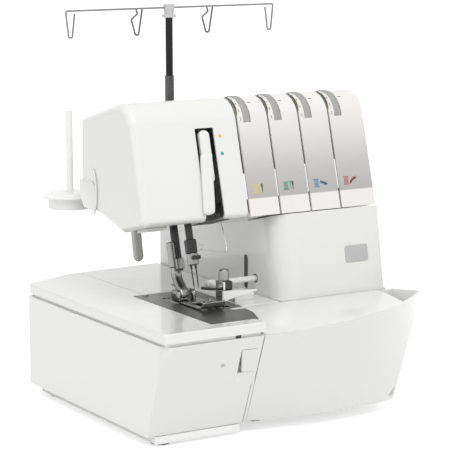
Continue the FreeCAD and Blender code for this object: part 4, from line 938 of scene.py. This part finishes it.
# right end: ribbed grips with a pointer, scales beside the two knobs
wheelSettings = {
    "centre": (30.0, 62.0),
    "grip": (127.0, 138.0, 34.0, 72, 0.7),  # from, to, radius, ribs, height of the ribs
    "line": (143.0, 22.0, 9.0),  # x, radius, length
}
knobSettings = {
    "grip": (124.2, 130.4, 15.0, 40, 0.5), "line": (132.4, 8.0, 7.0), "wall": 123.0, "figureLift": 0.05,
    "figureSize": 3.4, "figureRadius": 19.0, "figureAngles": (155, 120, 60, 25),
    "knobs": [("stitch_length_dial", (100.0, 132.0), ("1", "2", "3", "4")),
              ("differential_dial", (100.0, 96.0), ("0.6", "1", "1.5", "2"))],
}
pointerSettings = {"wide": 1.4, "round": 0.6, "lift": 0.12}


def aboutX(centre):  # places on rings round a line that runs along x
    y0, z0 = centre
    return lambda x, radius, angle: drawn(x, y0 + radius * np.cos(angle), z0 + radius * np.sin(angle))


def sideFigures(centre, texts):  # figures on the wall, at set angles round a knob
    s = knobSettings
    parts = []
    for text, angle in zip(texts, np.radians(s["figureAngles"])):
        flat, faces = figureMesh(text, s["figureSize"])
        y0, z0 = np.array(centre) + s["figureRadius"] * np.array([np.cos(angle), np.sin(angle)])
        x = s["wall"] + s["figureLift"] + flat[:, 2]
        parts.append((drawn(x, y0 + flat[:, 0], z0 + flat[:, 1]), faces))
    return joined(parts)


def faceLine(centre, x, radius, length):  # a short pointer on the face of a knob or wheel
    s = pointerSettings
    return plateOn(roundedOutline(s["wide"], length, s["round"]),
                   lambda a, b, c: drawn(x + s["lift"] * c, centre[0] + a, centre[1] + radius + b))


s = wheelSettings
newPiece("wheelGrip", *ribbedRing(aboutX(s["centre"]), *s["grip"]), "handwheel", "whiteTrim", "white_trim")
newPiece("wheelLine", *faceLine(s["centre"], *s["line"]), "handwheel", "inkGrey", "black_plastic", False)
s = knobSettings
for body, centre, texts in s["knobs"]:
    newPiece(body + "Grip", *ribbedRing(aboutX(centre), *s["grip"]), body, "dialGrey", "grey_plastic")
    newPiece(body + "Line", *faceLine(centre, *s["line"]), body, "inkDark", "black_plastic", False)
    newPiece(body + "Figures", *sideFigures(centre, texts), "machine", "inkDark", "black_plastic", False)

# signs on the switch
switchSettings = {"y": 136.0, "middle": 38.0, "top": 125.6, "slope": 0.1915, "lift": 0.1, "offZ": 33.2,
                  "offRadius": 2.2, "offWire": 0.3, "offSides": 6, "offSteps": 33, "offAt": 0.5, "onZ": 42.8,
                  "onOutline": (0.9, 4.6, 0.4)}


def onRocker(z0):  # both halves of the rocker's face fall away from its middle
    s = switchSettings
    return lambda a, b, c: drawn(s["top"] - np.abs(z0 + b - s["middle"]) * s["slope"] + s["lift"] * c,
                                 s["y"] + a, z0 + b)


s = switchSettings
turn = np.linspace(0, 2 * np.pi, s["offSteps"])
ringLine = onRocker(s["offZ"])(s["offRadius"] * np.cos(turn), s["offRadius"] * np.sin(turn), s["offAt"])
offSign = tube(ringLine, s["offWire"] / 1000, s["offSides"])
onSign = plateOn(roundedOutline(*s["onOutline"]), onRocker(s["onZ"]))
newPiece("switchSigns", *joined([offSign, onSign]), "power_rocker", "whiteTrim", "white_trim", False)

# back: painted shade of air slots below the motor's height, as dark plates, and a screw near each corner of
# the rear cover, with its cross recess in painted shade
backSettings = {
    "y": 153.5, "slotX": 76.0, "slotOutline": (40.0, 1.9, 0.9), "slotThick": 0.12, "slotFrom": 40.0,
    "slotTo": 84.0, "slots": 10, "screwRadius": 3.2, "screwSteps": 32, "screwHigh": 1.1, "crossAt": 1.0,
    "crossLift": 0.15, "crossOutlines": [(3.6, 0.8, 0.3), (0.8, 3.6, 0.3)],
    "screws": [(17.5, 30.0), (108.5, 30.0), (17.5, 162.0), (108.5, 162.0)],
}


def onBack(x0, z0, start=0.0, share=1.0):  # a runs across as seen from behind, b up and c out of the back
    return lambda a, b, c: drawn(x0 - a, backSettings["y"] + start + share * c, z0 + b)


s = backSettings
airSlotShades = [plateOn(roundedOutline(*s["slotOutline"]), onBack(s["slotX"], z0), s["slotThick"])
            for z0 in np.linspace(s["slotFrom"], s["slotTo"], s["slots"])]
newPiece("airSlotShades", *joined(airSlotShades), "machine", "inkDark", "black_plastic", False)
screwHeads = [plateOn(circle(s["screwRadius"], s["screwSteps"]), onBack(*spot), s["screwHigh"])
              for spot in s["screws"]]
newPiece("backScrews", *joined(screwHeads), "machine", "wornSteel", "worn_steel")
# dark crosses of painted shade for the screws' cross recesses
crossShades = [plateOn(roundedOutline(*outline), onBack(*spot, s["crossAt"], s["crossLift"]))
             for spot in s["screws"] for outline in s["crossOutlines"]]
newPiece("screwCrossShades", *joined(crossShades), "machine", "inkDark", "black_plastic", False)
print("right end and back done")

# floor, backdrop light and lamps
stageSettings = {
    "floorTone": 0.86, "floorGlow": 0.58, "floorReach": 14.0, "floorZ": -0.0002, "worldForObject": 0.74,
    "aim": (0, 0, 0.15),
    "lamps": [("keyLamp", (-0.4, -1.3, 2.3), 32.0, 1.7), ("fillLamp", (-1.7, -0.9, 0.9), 2.0, 1.4)],
}


def seenDirectly(tree):  # camera, mirror and glass rays together
    rays = tree.nodes.new("ShaderNodeLightPath")
    both = math2(tree, "MAXIMUM", rays.outputs["Is Camera Ray"], rays.outputs["Is Glossy Ray"])
    return math2(tree, "MAXIMUM", both, rays.outputs["Is Transmission Ray"])


def makeFloor(s):
    mesh = bpy.data.meshes.new("floor")
    reach = s["floorReach"]
    corners = [(-reach, -reach, 0), (reach, -reach, 0), (reach, reach, 0), (-reach, reach, 0)]
    mesh.from_pydata(corners, [], [(0, 1, 2, 3)])
    floor = bpy.data.objects.new("floor", mesh)
    floor.location.z = s["floorZ"]
    bpy.context.scene.collection.objects.link(floor)
    mat = bpy.data.materials.new("paleFloor")
    mat.use_nodes = True
    tree = mat.node_tree
    tree.nodes.clear()
    matte = addNode(tree, "ShaderNodeBsdfDiffuse", {"Color": (s["floorTone"],) * 3 + (1,)})
    strength = math2(tree, "MULTIPLY", seenDirectly(tree), s["floorGlow"])
    glow = addNode(tree, "ShaderNodeEmission", Strength=strength)
    both = tree.nodes.new("ShaderNodeAddShader")
    tree.links.new(matte.outputs[0], both.inputs[0])
    tree.links.new(glow.outputs[0], both.inputs[1])
    addNode(tree, "ShaderNodeOutputMaterial", Surface=both.outputs[0])
    mesh.materials.append(mat)
    floor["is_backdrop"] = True


def makeWorld(s):
    world = bpy.data.worlds.new("studio")
    world.use_nodes = True
    tree = world.node_tree
    back = tree.nodes["Background"]
    back.inputs["Color"].default_value = (1, 1, 1, 1)
    level = math2(tree, "MULTIPLY", seenDirectly(tree), 1 - s["worldForObject"])
    tree.links.new(math2(tree, "ADD", level, s["worldForObject"]), back.inputs["Strength"])
    bpy.context.scene.world = world


def makeLamp(name, place, power, size, aim):
    data = bpy.data.lights.new(name, "AREA")
    data.energy, data.size = power, size
    lamp = bpy.data.objects.new(name, data)
    lamp.location = place
    lamp.rotation_mode = "QUATERNION"
    lamp.rotation_quaternion = (Vector(aim) - Vector(place)).to_track_quat("-Z", "Y")
    bpy.context.scene.collection.objects.link(lamp)


makeFloor(stageSettings)
makeWorld(stageSettings)
for lampSettings in stageSettings["lamps"]:  # name, place, power, size
    makeLamp(*lampSettings, stageSettings["aim"])
bpy.context.scene.view_settings.view_transform = "Standard"
print("stage done")

low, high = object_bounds()
